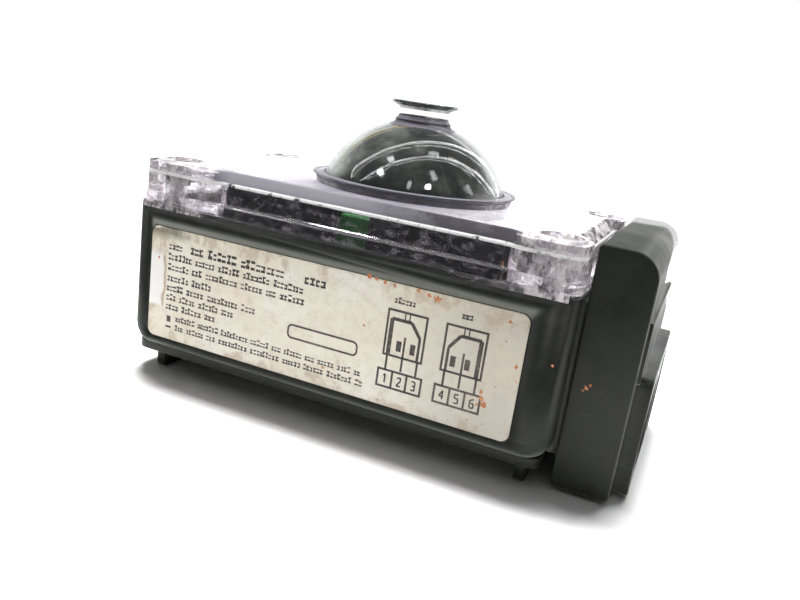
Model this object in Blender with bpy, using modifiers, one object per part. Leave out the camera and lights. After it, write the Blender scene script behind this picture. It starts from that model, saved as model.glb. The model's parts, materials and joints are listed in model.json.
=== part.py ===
"""Compact position-monitoring limit switch box for a quarter-turn valve actuator.

A black moulded base holds a drive shaft with two cams, which press the levers of two snap-action
switches. A clear cover carries a domed position indicator over the shaft. X runs along the front
face towards the cable entries, Y runs to the back, and Z is up. The origin is on the surface that
the box stands on, below the middle of its outer box.
"""

from math import acos, atan2, cos, hypot, pi, radians, sin, sqrt, tau

import bmesh
import bpy
from mathutils import Matrix, Vector

MM = 0.001
GAP = 0.3 * MM

# Base housing: tub and cable-entry end wall.
TUB_LEFT, TUB_RIGHT = -65.65 * MM, 48.35 * MM
TUB_FRONT, TUB_BACK = -34 * MM, 34 * MM
TUB_BOTTOM, TUB_TOP = 7.8 * MM, 45 * MM
WALL = 3 * MM
FLOOR_TOP = TUB_BOTTOM + WALL
END_LEFT, END_RIGHT = 49.15 * MM, 62.15 * MM
END_FRONT = -28 * MM
END_BOTTOM, END_TOP = 1 * MM, 56.5 * MM
PAD_RIGHT = 65.65 * MM
PAD_FRONT, PAD_BACK = -22 * MM, 29 * MM
PAD_TOP = 28.7 * MM
ENTRY_RADIUS = 10 * MM
ENTRY_Y = (-9.5 * MM, 16.5 * MM)
ENTRY_Z = 14.85 * MM
ENTRY_DEPTH = 13 * MM
SEAT_RADIUS, SEAT_LEFT = 11.5 * MM, 62.6 * MM
EARTH_PLACE = (-50 * MM, 18 * MM)

# Corner screws, in the corners of the tub and of the cover.
SCREW_X = (-58.15 * MM, 40.85 * MM)
SCREW_Y = (-25.5 * MM, 25.5 * MM)
PILLAR_RADIUS = 5.6 * MM

# Clear cover.
COVER_RIGHT = 48.15 * MM
COVER_BOTTOM = TUB_TOP + GAP
FLANGE_TOP = 48.1 * MM
COVER_TOP = 56.2 * MM
COVER_INSET = 1.4 * MM
COVER_WALL = 2.2 * MM
COVER_CHAMFER = 2.6 * MM
LEFT_BLOCK_LENGTH, RIGHT_BLOCK_LENGTH = 24 * MM, 16.5 * MM
BLOCK_DEPTH, BLOCK_INSET = 13.5 * MM, 0.3 * MM
SEAT_TOP = 58.5 * MM
DOME_HOLE_RADIUS = 23.8 * MM

# Shaft axis, with everything that turns on it or sits round it.
AXIS_X, AXIS_Y = -4.35 * MM, 0.0
SHAFT_RADIUS = 4 * MM
BORE_RADIUS = SHAFT_RADIUS + GAP

# Dome and rotor share one sphere centre.
DOME_CENTRE_Z = 49.05 * MM
DOME_RADIUS = 25.2 * MM
DOME_THICKNESS = 1.0 * MM
DOME_FLANGE_RADIUS = 25.1 * MM
BOSS_RADIUS = 7.1 * MM
ROTOR_RADIUS = 23.2 * MM
ROTOR_THICKNESS = 1.4 * MM
HUB_RADIUS = 5.5 * MM
FLAG_INNER, FLAG_OUTER = 23.5 * MM, 23.8 * MM

# Switch stack: two switches, each with a lever that rests against its cam.
SWITCH_LEFT, SWITCH_RIGHT = 8.4 * MM, 18.4 * MM
SWITCH_HALF_LENGTH = 10 * MM
SWITCH_THICKNESS = 6.4 * MM
SWITCH_BOTTOMS = {"bottom": 21.3 * MM, "top": 30.3 * MM}
CAM_BOTTOMS = {"bottom": 22 * MM, "top": 31 * MM}
CAM_THICKNESS = 5 * MM
PIVOT_X, PIVOT_Y = 7.0 * MM, -9.0 * MM
CAM_LOW, CAM_HIGH = 9.5 * MM, 10.7 * MM
PLUNGER_Y = -4.2 * MM
SWITCH_SCREW_X, SWITCH_SCREW_Y = 14.6 * MM, 6.6 * MM

# Terminals on their carrier.
CARRIER_LEFT, CARRIER_RIGHT = -51.5 * MM, 34.5 * MM
CARRIER_TOP = 41.3 * MM
UPSTAND_FRONT = -29.9 * MM
TERMINAL_LEFT = -9.85 * MM
TERMINAL_PITCH = 5.08 * MM
TERMINAL_COUNT = 6
TERMINAL_FRONT, TERMINAL_BACK = -28.5 * MM, -19.6 * MM
TERMINAL_SCREW_Y = -22.4 * MM

# Mounting bracket.
BRACKET_BOTTOM, BRACKET_TOP = 5.2 * MM, 7.5 * MM
RAIL_LEFTS = (-60.45 * MM, 41.05 * MM)
RAIL_THICKNESS = 2.4 * MM
ACTUATOR_HALF_X, ACTUATOR_HALF_Y = 40 * MM, 15 * MM
BRACKET_SCREW_DX, BRACKET_SCREW_Y = 22 * MM, 20 * MM

for existing in list(bpy.data.objects):
    bpy.data.objects.remove(existing, do_unlink=True)

PARTS = bpy.data.collections.new("limit_switch_box")
CUTTERS = bpy.data.collections.new("cutters")
bpy.context.scene.collection.children.link(PARTS)
bpy.context.scene.collection.children.link(CUTTERS)


def material(name, colour, roughness, metallic=0.0, transmission=0.0):
    made = bpy.data.materials.new(name)
    made.use_nodes = True
    shader = made.node_tree.nodes["Principled BSDF"]
    shader.inputs["Base Color"].default_value = (*colour, 1.0)
    shader.inputs["Roughness"].default_value = roughness
    shader.inputs["Metallic"].default_value = metallic
    shader.inputs["Transmission Weight"].default_value = transmission
    return made


BLACK = material("black_plastic", (0.035, 0.037, 0.033), 0.55)
INNER_BLACK = material("inner_black_plastic", (0.03, 0.03, 0.03), 0.5)
CLEAR = material("clear_polycarbonate", (0.9, 0.86, 0.95), 0.08, transmission=0.9)
ROTOR_BLACK = material("rotor_black", (0.015, 0.016, 0.015), 0.25)
YELLOW = material("flag_yellow", (0.85, 0.6, 0.05), 0.4)
LABEL = material("label_film", (0.7, 0.6, 0.47), 0.5)
GREEN = material("terminal_green", (0.08, 0.3, 0.1), 0.45)
STEEL = material("zinc_steel", (0.6, 0.6, 0.58), 0.35, metallic=1.0)
STAINLESS = material("stainless_steel", (0.55, 0.55, 0.54), 0.3, metallic=1.0)
BRASS = material("brass", (0.75, 0.58, 0.28), 0.35, metallic=1.0)
RUBBER = material("seal_rubber", (0.02, 0.02, 0.02), 0.8)
RED = material("cam_red", (0.6, 0.05, 0.04), 0.45)
CAM_GREEN = material("cam_green", (0.04, 0.35, 0.12), 0.45)
SWITCH_GREY = material("switch_case", (0.05, 0.05, 0.055), 0.4)
PLUNGER_RED = material("plunger_red", (0.7, 0.08, 0.05), 0.4)
WIRE_COLOURS = [
    material("wire_%s" % name, colour, 0.45)
    for name, colour in {
        "brown": (0.2, 0.08, 0.03),
        "blue": (0.03, 0.1, 0.5),
        "grey": (0.3, 0.3, 0.3),
        "white": (0.8, 0.8, 0.78),
        "orange": (0.8, 0.25, 0.03),
        "violet": (0.25, 0.08, 0.4),
    }.items()
]


def add_object(name, mesh, finish, smooth_angle=35):
    """Links a mesh as a part, or as a hidden cutter where it has no finish."""
    obj = bpy.data.objects.new(name, mesh)
    mesh.shade_smooth()
    mesh.set_sharp_from_angle(angle=radians(smooth_angle))
    if finish is None:
        CUTTERS.objects.link(obj)
        obj.hide_render = True
        obj.display_type = "WIRE"
    else:
        PARTS.objects.link(obj)
        mesh.materials.append(finish)
    return obj


def mesh_object(name, bm, finish):
    bmesh.ops.recalc_face_normals(bm, faces=bm.faces)
    mesh = bpy.data.meshes.new(name)
    bm.to_mesh(mesh)
    bm.free()
    return add_object(name, mesh, finish)


def box(name, low, high, finish=None, rounding=()):
    """A box between two corners. Each rounding is (axis of the edges, radius, test of the edge's middle)."""
    low, high = Vector(low), Vector(high)
    bm = bmesh.new()
    bmesh.ops.create_cube(bm, size=1.0)
    for vertex in bm.verts:
        vertex.co = Vector(
            (a + (b - a) * (c + 0.5) for a, b, c in zip(low, high, vertex.co))
        )
    for axis, radius, wanted in rounding:
        edges = []
        for edge in bm.edges:
            along = edge.verts[1].co - edge.verts[0].co
            middle = (edge.verts[0].co + edge.verts[1].co) / 2
            if abs(along[axis]) > 0.99 * along.length and wanted(middle):
                edges.append(edge)
        bmesh.ops.bevel(
            bm, geom=edges, offset=radius, segments=3, profile=0.5, affect="EDGES"
        )
    return mesh_object(name, bm, finish)


def every(_middle):
    return True


def cylinder(name, radius, centre, low, high, finish=None, axis="Z", sides=24, tip=None):
    """A cylinder, or a cone with another end radius. centre has the two coordinates across the axis."""
    bm = bmesh.new()
    bmesh.ops.create_cone(
        bm,
        cap_ends=True,
        segments=sides,
        radius1=radius,
        radius2=radius if tip is None else tip,
        depth=high - low,
    )
    middle = (low + high) / 2
    if axis == "Z":
        place = Matrix.Translation((centre[0], centre[1], middle))
    else:
        place = Matrix.Translation((middle, centre[0], centre[1])) @ Matrix.Rotation(
            pi / 2, 4, "Y"
        )
    bmesh.ops.transform(bm, matrix=place, verts=bm.verts)
    return mesh_object(name, bm, finish)


def turned(name, profile, finish=None, centre=(AXIS_X, AXIS_Y), steps=24, ring=False):
    """Turns (radius, height) points about a vertical axis. A ring's profile is a closed loop off the axis."""
    bm = bmesh.new()
    verts = [bm.verts.new((radius, 0, height)) for radius, height in profile]
    for first, second in zip(verts, verts[1:]):
        bm.edges.new((first, second))
    if ring:
        bm.edges.new((verts[-1], verts[0]))
    mesh = bpy.data.meshes.new(name + "_profile")
    bm.to_mesh(mesh)
    bm.free()
    obj = bpy.data.objects.new(name + "_profile", mesh)
    CUTTERS.objects.link(obj)
    screw = obj.modifiers.new("turn", "SCREW")
    screw.steps = screw.render_steps = steps
    screw.use_merge_vertices = True
    screw.merge_threshold = 0.00001
    return made_mesh(obj, name, finish, Matrix.Translation((*centre, 0)))


def made_mesh(obj, name, finish, place):
    """Replaces a curve or a profile by its evaluated mesh, welded and put in its place."""
    graph = bpy.context.evaluated_depsgraph_get()
    mesh = bpy.data.meshes.new_from_object(obj.evaluated_get(graph))
    bm = bmesh.new()
    bm.from_mesh(mesh)
    bmesh.ops.remove_doubles(bm, verts=bm.verts, dist=0.000001)
    bmesh.ops.transform(bm, matrix=place @ obj.matrix_world, verts=bm.verts)
    bpy.data.objects.remove(obj)
    bpy.data.meshes.remove(mesh)
    return mesh_object(name, bm, finish)


def outline(name, loops, low, high, finish=None, plane="XY"):
    """Extrudes flat outlines, the first with the others as holes, from low to high across their plane."""
    curve = bpy.data.curves.new(name + "_outline", "CURVE")
    curve.dimensions = "2D"
    curve.fill_mode = "BOTH"
    curve.extrude = (high - low) / 2
    for points in loops:
        spline = curve.splines.new("POLY")
        spline.points.add(len(points) - 1)
        for point, (across, up) in zip(spline.points, points):
            point.co = (across, up, 0, 1)
        spline.use_cyclic_u = True
    obj = bpy.data.objects.new(name + "_outline", curve)
    CUTTERS.objects.link(obj)
    place = Matrix.Translation((0, 0, (low + high) / 2))
    if plane == "XZ":
        place = Matrix.Translation((0, (low + high) / 2, 0)) @ Matrix.Rotation(pi / 2, 4, "X")
    return made_mesh(obj, name, finish, place)


def rod(name, route, radius, finish):
    """A round wire along a route, with filled ends."""
    curve = bpy.data.curves.new(name + "_route", "CURVE")
    curve.dimensions = "3D"
    curve.bevel_depth = radius
    curve.bevel_resolution = 1
    curve.use_fill_caps = True
    spline = curve.splines.new("POLY")
    spline.points.add(len(route) - 1)
    for point, place in zip(spline.points, route):
        point.co = (*place, 1)
    obj = bpy.data.objects.new(name + "_route", curve)
    CUTTERS.objects.link(obj)
    return made_mesh(obj, name, finish, Matrix.Identity(4))


def combine(target, operation, *others):
    for other in others:
        modifier = target.modifiers.new(other.name, "BOOLEAN")
        modifier.operation = operation
        modifier.solver = "EXACT"
        modifier.object = other
    return target


def cut(target, *cutters):
    return combine(target, "DIFFERENCE", *cutters)


def join(target, *others):
    return combine(target, "UNION", *others)


def ring_profile(inner, outer, low, high):
    return [(outer, high), (outer, low), (inner, low), (inner, high)]


def round_section(radius, minor, height, sides=6):
    """The closed profile of an O-ring."""
    return [
        (radius + minor * cos(-tau * i / sides), height + minor * sin(-tau * i / sides))
        for i in range(sides)
    ]


def rounded_rectangle(left, front, right, back, radius, steps=3):
    points = []
    corners = (
        (right - radius, front + radius, -pi / 2),
        (right - radius, back - radius, 0),
        (left + radius, back - radius, pi / 2),
        (left + radius, front + radius, pi),
    )
    for x, y, start in corners:
        for i in range(steps + 1):
            angle = start + pi / 2 * i / steps
            points.append((x + radius * cos(angle), y + radius * sin(angle)))
    return points


def corner_places():
    return [(x, y) for x in SCREW_X for y in SCREW_Y]


def place_names():
    return ("front_left", "back_left", "front_right", "back_right")


# --- Base ---


def base_housing():
    base = box(
        "base_housing",
        (TUB_LEFT, TUB_FRONT, TUB_BOTTOM),
        (TUB_RIGHT, TUB_BACK, TUB_TOP),
        BLACK,
        rounding=(
            (1, 5 * MM, lambda middle: middle.z < 0.02),
            (2, 3 * MM, every),
        ),
    )
    cavity = box(
        "tub_cavity",
        (TUB_LEFT + WALL, TUB_FRONT + WALL, FLOOR_TOP),
        (TUB_RIGHT - WALL, TUB_BACK - WALL, TUB_TOP + WALL),
        rounding=((2, 3 * MM, every),),
    )
    cut(base, cavity)
    end_wall = box(
        "end_wall",
        (END_LEFT, END_FRONT, END_BOTTOM),
        (END_RIGHT, TUB_BACK, END_TOP),
        rounding=((1, 6 * MM, lambda middle: middle.z > 0.05 and middle.x > 0.06),),
    )
    neck = box(
        "end_wall_neck",
        (TUB_RIGHT - WALL / 2, END_FRONT + 1 * MM, TUB_BOTTOM + 6 * MM),
        (END_LEFT + WALL, TUB_BACK - 4 * MM, TUB_TOP - 1 * MM),
    )
    pad = box(
        "entry_pad",
        (END_RIGHT - WALL, PAD_FRONT, END_BOTTOM),
        (PAD_RIGHT, PAD_BACK, PAD_TOP),
        rounding=((0, 2 * MM, lambda middle: middle.z > 0.01),),
    )
    join(base, end_wall, neck, pad)
    root = FLOOR_TOP - WALL / 2
    for index, place in enumerate(corner_places()):
        join(base, cylinder("corner_post_%d" % index, PILLAR_RADIUS, place, root, TUB_TOP, sides=16))
    join(base, cylinder("shaft_boss", 9.5 * MM, (AXIS_X, AXIS_Y), root, 18 * MM))
    for index, place in enumerate(bracket_screw_places()):
        join(base, cylinder("bracket_boss_%d" % index, 4 * MM, place, root, 17 * MM, sides=12))
    join(base, cylinder("earth_boss", 4 * MM, EARTH_PLACE, root, 15 * MM, sides=12))
    below = TUB_BOTTOM - WALL
    above = TUB_TOP + WALL
    cut(base, cylinder("shaft_hole", 6.2 * MM, (AXIS_X, AXIS_Y), below, 20 * MM))
    for index, place in enumerate(corner_places()):
        cut(base, cylinder("corner_bore_%d" % index, 2.7 * MM, place, 31 * MM, above, sides=12))
    for index, place in enumerate(bracket_screw_places()):
        cut(base, cylinder("bracket_bore_%d" % index, 2 * MM, place, below, 15.5 * MM, sides=10))
    cut(base, cylinder("earth_bore", 1.8 * MM, EARTH_PLACE, 9.5 * MM, 16 * MM, sides=10))
    for index, place in enumerate(floor_screw_places()):
        cut(base, cylinder("floor_bore_%d" % index, 1.6 * MM, place, 9 * MM, 12 * MM, sides=10))
    entry_left = PAD_RIGHT - ENTRY_DEPTH
    beyond = PAD_RIGHT + WALL
    for index, y in enumerate(ENTRY_Y):
        middle = (y, ENTRY_Z)
        cut(base, cylinder("entry_bore_%d" % index, ENTRY_RADIUS, middle, entry_left, beyond, axis="X"))
        cut(base, cylinder("entry_seat_%d" % index, SEAT_RADIUS, middle, SEAT_LEFT, beyond, axis="X"))
        window = box(
            "entry_window_%d" % index,
            (TUB_RIGHT - WALL - 1 * MM, y - 7.5 * MM, FLOOR_TOP + 1.2 * MM),
            (entry_left + 1 * MM, y + 7.5 * MM, 22 * MM),
        )
        cut(base, window)
    cut(base, label_solid("label_recess", 0, TUB_FRONT - WALL, TUB_FRONT + 0.6 * MM))
    cut(base, gasket_solid("gasket_groove", 0.35 * MM, TUB_TOP - 1.6 * MM, TUB_TOP + WALL))
    return base


def bracket_screw_places():
    columns = (AXIS_X - BRACKET_SCREW_DX, AXIS_X + BRACKET_SCREW_DX)
    return [(x, y) for x in columns for y in (-BRACKET_SCREW_Y, BRACKET_SCREW_Y)]


def floor_screw_places():
    """Two screws of the terminal carrier, then two of the switch bracket."""
    return [(-43.5 * MM, -23 * MM), (26.8 * MM, -23 * MM), (25 * MM, -6 * MM), (25 * MM, 6 * MM)]


def label_solid(name, inset, front, back, finish=None):
    """The label's outline, inset all round."""
    loop = rounded_rectangle(
        -60.35 * MM + inset, 10.2 * MM + inset, 39.65 * MM - inset, 40 * MM - inset, 2 * MM
    )
    return outline(name, [loop], front, back, finish, plane="XZ")


def gasket_solid(name, spread, low, high, finish=None):
    """A rectangular ring along the middle of the tub's wall, widened by spread on both sides."""
    middle = WALL / 2
    half = 0.5 * MM + spread

    def loop(offset):
        return rounded_rectangle(
            TUB_LEFT + middle - offset,
            TUB_FRONT + middle - offset,
            TUB_RIGHT - middle + offset,
            TUB_BACK - middle + offset,
            2.2 * MM + offset,
        )

    return outline(name, [loop(half), loop(-half)], low, high, finish)


def mounting_bracket():
    bracket = outline(
        "mounting_bracket",
        [rounded_rectangle(-65.3 * MM, -32 * MM, 46.5 * MM, 32 * MM, 3 * MM)],
        BRACKET_BOTTOM,
        BRACKET_TOP,
        BLACK,
    )
    for index, left in enumerate(RAIL_LEFTS):
        rail = box(
            "foot_rail_%d" % index,
            (left, -29 * MM, 0),
            (left + RAIL_THICKNESS, 28 * MM, BRACKET_BOTTOM + 1 * MM),
            rounding=((0, 1 * MM, lambda middle: middle.z < 0.001),),
        )
        join(bracket, rail)
    cut(bracket, cylinder("coupling_opening", 15 * MM, (AXIS_X, AXIS_Y), 0, TUB_BOTTOM))
    columns = (AXIS_X - ACTUATOR_HALF_X, AXIS_X + ACTUATOR_HALF_X)
    holes = [(x, y) for x in columns for y in (-ACTUATOR_HALF_Y, ACTUATOR_HALF_Y)]
    for index, place in enumerate(holes):
        cut(bracket, cylinder("actuator_hole_%d" % index, 2.75 * MM, place, 3 * MM, TUB_BOTTOM, sides=14))
    hole = 1.9 * MM
    for index, place in enumerate(bracket_screw_places()):
        cut(bracket, cylinder("sink_%d" % index, 3.9 * MM, place, 4.9 * MM, 7.0 * MM, sides=12, tip=hole))
        cut(bracket, cylinder("sink_hole_%d" % index, hole, place, 6.5 * MM, 8 * MM, sides=12))
    return bracket


def bracket_screws():
    for name, place in zip(place_names(), bracket_screw_places()):
        screw = turned(
            "bracket_screw_" + name,
            [
                (0, 14.5 * MM),
                (1.5 * MM, 14 * MM),
                (1.5 * MM, 7.1 * MM),
                (3.1 * MM, 5.3 * MM),
                (0, 5.3 * MM),
            ],
            STEEL,
            centre=place,
            steps=12,
        )
        slot = box(
            "bracket_slot_" + name,
            (place[0] - 4 * MM, place[1] - 0.4 * MM, 5 * MM),
            (place[0] + 4 * MM, place[1] + 0.4 * MM, 6 * MM),
        )
        cut(screw, slot)


def label_plate():
    label_solid("label_plate", 0.25 * MM, TUB_FRONT + 0.05 * MM, TUB_FRONT + 0.35 * MM, LABEL)


def entry_plug():
    middle = (ENTRY_Y[1], ENTRY_Z)
    plug = cylinder("entry_plug", 9.6 * MM, middle, 53.2 * MM, 64.5 * MM, BLACK, axis="X", sides=28)
    join(plug, cylinder("plug_head", 11.1 * MM, middle, SEAT_LEFT + GAP, 65.4 * MM, axis="X", sides=28))
    cut(plug, cylinder("plug_socket", 5.8 * MM, middle, 59 * MM, 67 * MM, axis="X", sides=6))


def cover_gasket():
    gasket_solid("cover_gasket", 0, TUB_TOP - 1.3 * MM, TUB_TOP - 0.02 * MM, RUBBER)


def earth_screw():
    x, y = EARTH_PLACE
    screw = turned(
        "earth_screw",
        [
            (0, 17.6 * MM),
            (2.8 * MM, 17.2 * MM),
            (2.8 * MM, 15.3 * MM),
            (1.5 * MM, 15.3 * MM),
            (1.5 * MM, 10 * MM),
            (0, 10 * MM),
        ],
        BRASS,
        centre=EARTH_PLACE,
        steps=12,
    )
    slot = box("earth_slot", (x - 4 * MM, y - 0.4 * MM, 16.6 * MM), (x + 4 * MM, y + 0.4 * MM, 19 * MM))
    cut(screw, slot)


# --- Cover, dome and cover screws ---


def chamfer_top(obj, top, size):
    """Cuts the edges round a block's top face at a slant."""
    bm = bmesh.new()
    bm.from_mesh(obj.data)
    rim = [edge for edge in bm.edges if all(vertex.co.z > top - GAP for vertex in edge.verts)]
    bmesh.ops.bevel(bm, geom=rim, offset=size, segments=1, profile=0.5, affect="EDGES")
    bm.to_mesh(obj.data)
    bm.free()


def corner_block(index, place):
    """The solid block that takes a cover screw. It stands out to the edge of the cover's flange."""
    x, y = place
    if x < 0:
        left = TUB_LEFT + BLOCK_INSET
        right = left + LEFT_BLOCK_LENGTH
    else:
        right = COVER_RIGHT - BLOCK_INSET
        left = right - RIGHT_BLOCK_LENGTH
    if y < 0:
        front = TUB_FRONT + BLOCK_INSET
    else:
        front = TUB_BACK - BLOCK_INSET - BLOCK_DEPTH
    top = COVER_TOP - 0.4 * MM
    block = box(
        "cover_block_%d" % index,
        (left, front, COVER_BOTTOM + 0.2 * MM),
        (right, front + BLOCK_DEPTH, top),
        rounding=((2, 3.6 * MM, every),),
    )
    chamfer_top(block, top, 1.6 * MM)
    return block


def clear_cover():
    cover = box(
        "clear_cover",
        (TUB_LEFT + COVER_INSET, TUB_FRONT + COVER_INSET, COVER_BOTTOM + 0.1 * MM),
        (COVER_RIGHT - COVER_INSET, TUB_BACK - COVER_INSET, COVER_TOP),
        CLEAR,
        rounding=((2, 3 * MM, every),),
    )
    chamfer_top(cover, COVER_TOP, COVER_CHAMFER)
    flange = outline(
        "cover_flange",
        [rounded_rectangle(TUB_LEFT, TUB_FRONT, COVER_RIGHT, TUB_BACK, 3 * MM)],
        COVER_BOTTOM,
        FLANGE_TOP,
    )
    join(cover, flange)
    inset = COVER_INSET + COVER_WALL
    cavity = box(
        "cover_cavity",
        (TUB_LEFT + inset, TUB_FRONT + inset, COVER_BOTTOM - WALL),
        (COVER_RIGHT - inset, TUB_BACK - inset, COVER_TOP - 2.4 * MM),
    )
    cut(cover, cavity)
    for index, place in enumerate(corner_places()):
        join(cover, corner_block(index, place))
    axis = (AXIS_X, AXIS_Y)
    join(cover, cylinder("dome_seat", 25.8 * MM, axis, COVER_TOP - 1 * MM, SEAT_TOP, sides=36, tip=26.6 * MM))
    cut(cover, cylinder("dome_hole", DOME_HOLE_RADIUS, axis, 50 * MM, 60 * MM, sides=36))
    for index, place in enumerate(corner_places()):
        cut(cover, cylinder("cover_screw_hole_%d" % index, 2.9 * MM, place, 40 * MM, 60 * MM, sides=12))
        cut(cover, cylinder("cover_screw_recess_%d" % index, 4.8 * MM, place, 50.2 * MM, 60 * MM, sides=18))
    return cover


def cover_screws():
    for name, place in zip(place_names(), corner_places()):
        screw = turned(
            "cover_screw_" + name,
            [
                (0, 55.7 * MM),
                (4 * MM, 55.5 * MM),
                (4.4 * MM, 54.9 * MM),
                (4.4 * MM, 52.2 * MM),
                (2.4 * MM, 52.2 * MM),
                (2.4 * MM, 32 * MM),
                (0, 32 * MM),
            ],
            STEEL,
            centre=place,
            steps=14,
        )
        slot = box(
            "cover_slot_" + name,
            (place[0] - 5 * MM, place[1] - 0.6 * MM, 54.2 * MM),
            (place[0] + 5 * MM, place[1] + 0.6 * MM, 57 * MM),
        )
        cut(screw, slot)
        turned(
            "screw_seal_" + name,
            round_section(3.5 * MM, 0.7 * MM, 51.2 * MM, sides=5),
            RUBBER,
            centre=place,
            steps=10,
            ring=True,
        )


def arc(radius, low_angle, high_angle, steps):
    """(radius, height) points on the dome's sphere, from the high elevation angle down to the low one."""
    points = []
    for i in range(steps + 1):
        angle = high_angle + (low_angle - high_angle) * i / steps
        points.append((radius * cos(angle), DOME_CENTRE_Z + radius * sin(angle)))
    return points


def elevation(radius, height):
    """The elevation angle at which a sphere of this radius reaches a height."""
    return acos(sqrt(radius**2 - (height - DOME_CENTRE_Z) ** 2) / radius)


def indicator_dome():
    inner = DOME_RADIUS - DOME_THICKNESS
    outer_skirt = sqrt(DOME_RADIUS**2 - (SEAT_TOP - DOME_CENTRE_Z) ** 2)
    inner_skirt = sqrt(inner**2 - (SEAT_TOP - DOME_CENTRE_Z) ** 2)
    profile = [
        (0, 78.8 * MM),
        (8 * MM, 78.8 * MM),
        (8.5 * MM, 78.4 * MM),
        (8.5 * MM, 77.3 * MM),
        (BOSS_RADIUS, 76 * MM),
    ]
    profile += arc(DOME_RADIUS, elevation(DOME_RADIUS, SEAT_TOP), acos(BOSS_RADIUS / DOME_RADIUS), 6)
    profile += [
        (outer_skirt, 52.3 * MM),
        (DOME_FLANGE_RADIUS, 52.3 * MM),
        (DOME_FLANGE_RADIUS, 50.9 * MM),
        (inner_skirt, 50.9 * MM),
    ]
    profile += arc(inner, elevation(inner, SEAT_TOP), pi / 2, 6)[::-1][:-1]
    profile += [(0, DOME_CENTRE_Z + inner)]
    turned("indicator_dome", profile, CLEAR, steps=32)


def dome_rings():
    gasket = ring_profile(24.1 * MM, DOME_FLANGE_RADIUS, 52.6 * MM, 53.5 * MM)
    turned("dome_gasket", gasket, RUBBER, steps=32, ring=True)
    retainer = ring_profile(22.6 * MM, DOME_FLANGE_RADIUS, 49.4 * MM, 50.6 * MM)
    turned("dome_retaining_ring", retainer, INNER_BLACK, steps=32, ring=True)


def indicator_rotor():
    inner = ROTOR_RADIUS - ROTOR_THICKNESS
    skirt = sqrt(ROTOR_RADIUS**2 - (SEAT_TOP - DOME_CENTRE_Z) ** 2)
    profile = arc(ROTOR_RADIUS, elevation(ROTOR_RADIUS, SEAT_TOP), pi / 2, 6)
    profile[0] = (0, DOME_CENTRE_Z + ROTOR_RADIUS)
    profile += [(skirt, 52.5 * MM), (skirt - ROTOR_THICKNESS, 52.5 * MM)]
    profile += arc(inner, elevation(inner, SEAT_TOP), acos(HUB_RADIUS / inner), 4)[::-1]
    profile += [(HUB_RADIUS, 49.5 * MM), (0, 49.5 * MM)]
    rotor = turned("indicator_rotor", profile, ROTOR_BLACK, steps=30)
    half = 3.0 * MM
    socket = box("rotor_socket", (AXIS_X - half, -half, 48 * MM), (AXIS_X + half, half, 57 * MM))
    cut(rotor, socket)


def indicator_flag():
    """A thin patch of the sphere that covers 70 degrees of the rotor, centred left of the back at rest."""
    first, last, columns, rows = radians(-135), radians(-65), 6, 4
    low, high = radians(27), radians(74)
    bm = bmesh.new()
    bmesh.ops.create_grid(bm, x_segments=columns, y_segments=rows, size=0.5)
    for vertex in bm.verts:
        turn = first + (last - first) * (vertex.co.x + 0.5)
        rise = low + (high - low) * (vertex.co.y + 0.5)
        reach = FLAG_INNER * cos(rise)
        vertex.co = (
            AXIS_X + reach * sin(turn),
            AXIS_Y - reach * cos(turn),
            DOME_CENTRE_Z + FLAG_INNER * sin(rise),
        )
    flag = mesh_object("indicator_flag", bm, YELLOW)
    centre = Vector((AXIS_X, AXIS_Y, DOME_CENTRE_Z))
    outward = flag.data.polygons[0].normal.dot(flag.data.vertices[0].co - centre)
    shell = flag.modifiers.new("thickness", "SOLIDIFY")
    shell.thickness = FLAG_OUTER - FLAG_INNER
    shell.offset = 1 if outward > 0 else -1


# --- Shaft and cams ---


def drive_shaft():
    shaft = turned(
        "drive_shaft",
        [
            (0, 49 * MM),
            (SHAFT_RADIUS, 49 * MM),
            (SHAFT_RADIUS, 7.2 * MM),
            (7.5 * MM, 7.2 * MM),
            (7.5 * MM, 3.2 * MM),
            (0, 3.2 * MM),
        ],
        STAINLESS,
        steps=20,
    )
    half = 2.7 * MM
    drive = box("shaft_square", (AXIS_X - half, -half, 48 * MM), (AXIS_X + half, half, 56 * MM))
    tongue = box("shaft_tongue", (AXIS_X - 2 * MM, -7 * MM, 0.8 * MM), (AXIS_X + 2 * MM, 7 * MM, 4 * MM))
    join(shaft, drive, tongue)


def shaft_fittings():
    turned(
        "shaft_bush",
        [
            (BORE_RADIUS, 19.4 * MM),
            (8 * MM, 19.4 * MM),
            (8 * MM, 18.3 * MM),
            (5.9 * MM, 18.3 * MM),
            (5.9 * MM, 11 * MM),
            (BORE_RADIUS, 11 * MM),
        ],
        BRASS,
        steps=24,
        ring=True,
    )
    turned("shaft_seal", round_section(5.15 * MM, 0.75 * MM, 9.4 * MM), RUBBER, steps=16, ring=True)
    profile = ring_profile(BORE_RADIUS, 6.6 * MM, 19.8 * MM, 20.7 * MM)
    ring = turned("shaft_retaining_ring", profile, STEEL, ring=True)
    cut(ring, box("ring_gap", (AXIS_X, -1.2 * MM, 19 * MM), (AXIS_X + 8 * MM, 1.2 * MM, 22 * MM)))
    retainer = ring_profile(BORE_RADIUS, 6.8 * MM, 36.4 * MM, 38 * MM)
    turned("cam_retainer", retainer, STEEL, steps=24, ring=True)


def lever_angle(distance):
    """The lever's lean when its face passes at this distance from the shaft's axis."""
    across, along = AXIS_X - PIVOT_X, AXIS_Y - PIVOT_Y
    return acos(distance / hypot(across, along)) - atan2(along, -across)


LEAN_FREE = lever_angle(CAM_LOW + GAP)
LEAN_PRESSED = lever_angle(CAM_HIGH + GAP)


def face_distance(lean):
    """How far the lever's face passes from the shaft's axis at this lean."""
    across, along = AXIS_X - PIVOT_X, AXIS_Y - PIVOT_Y
    return hypot(across, along) * cos(lean + atan2(along, -across))


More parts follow.
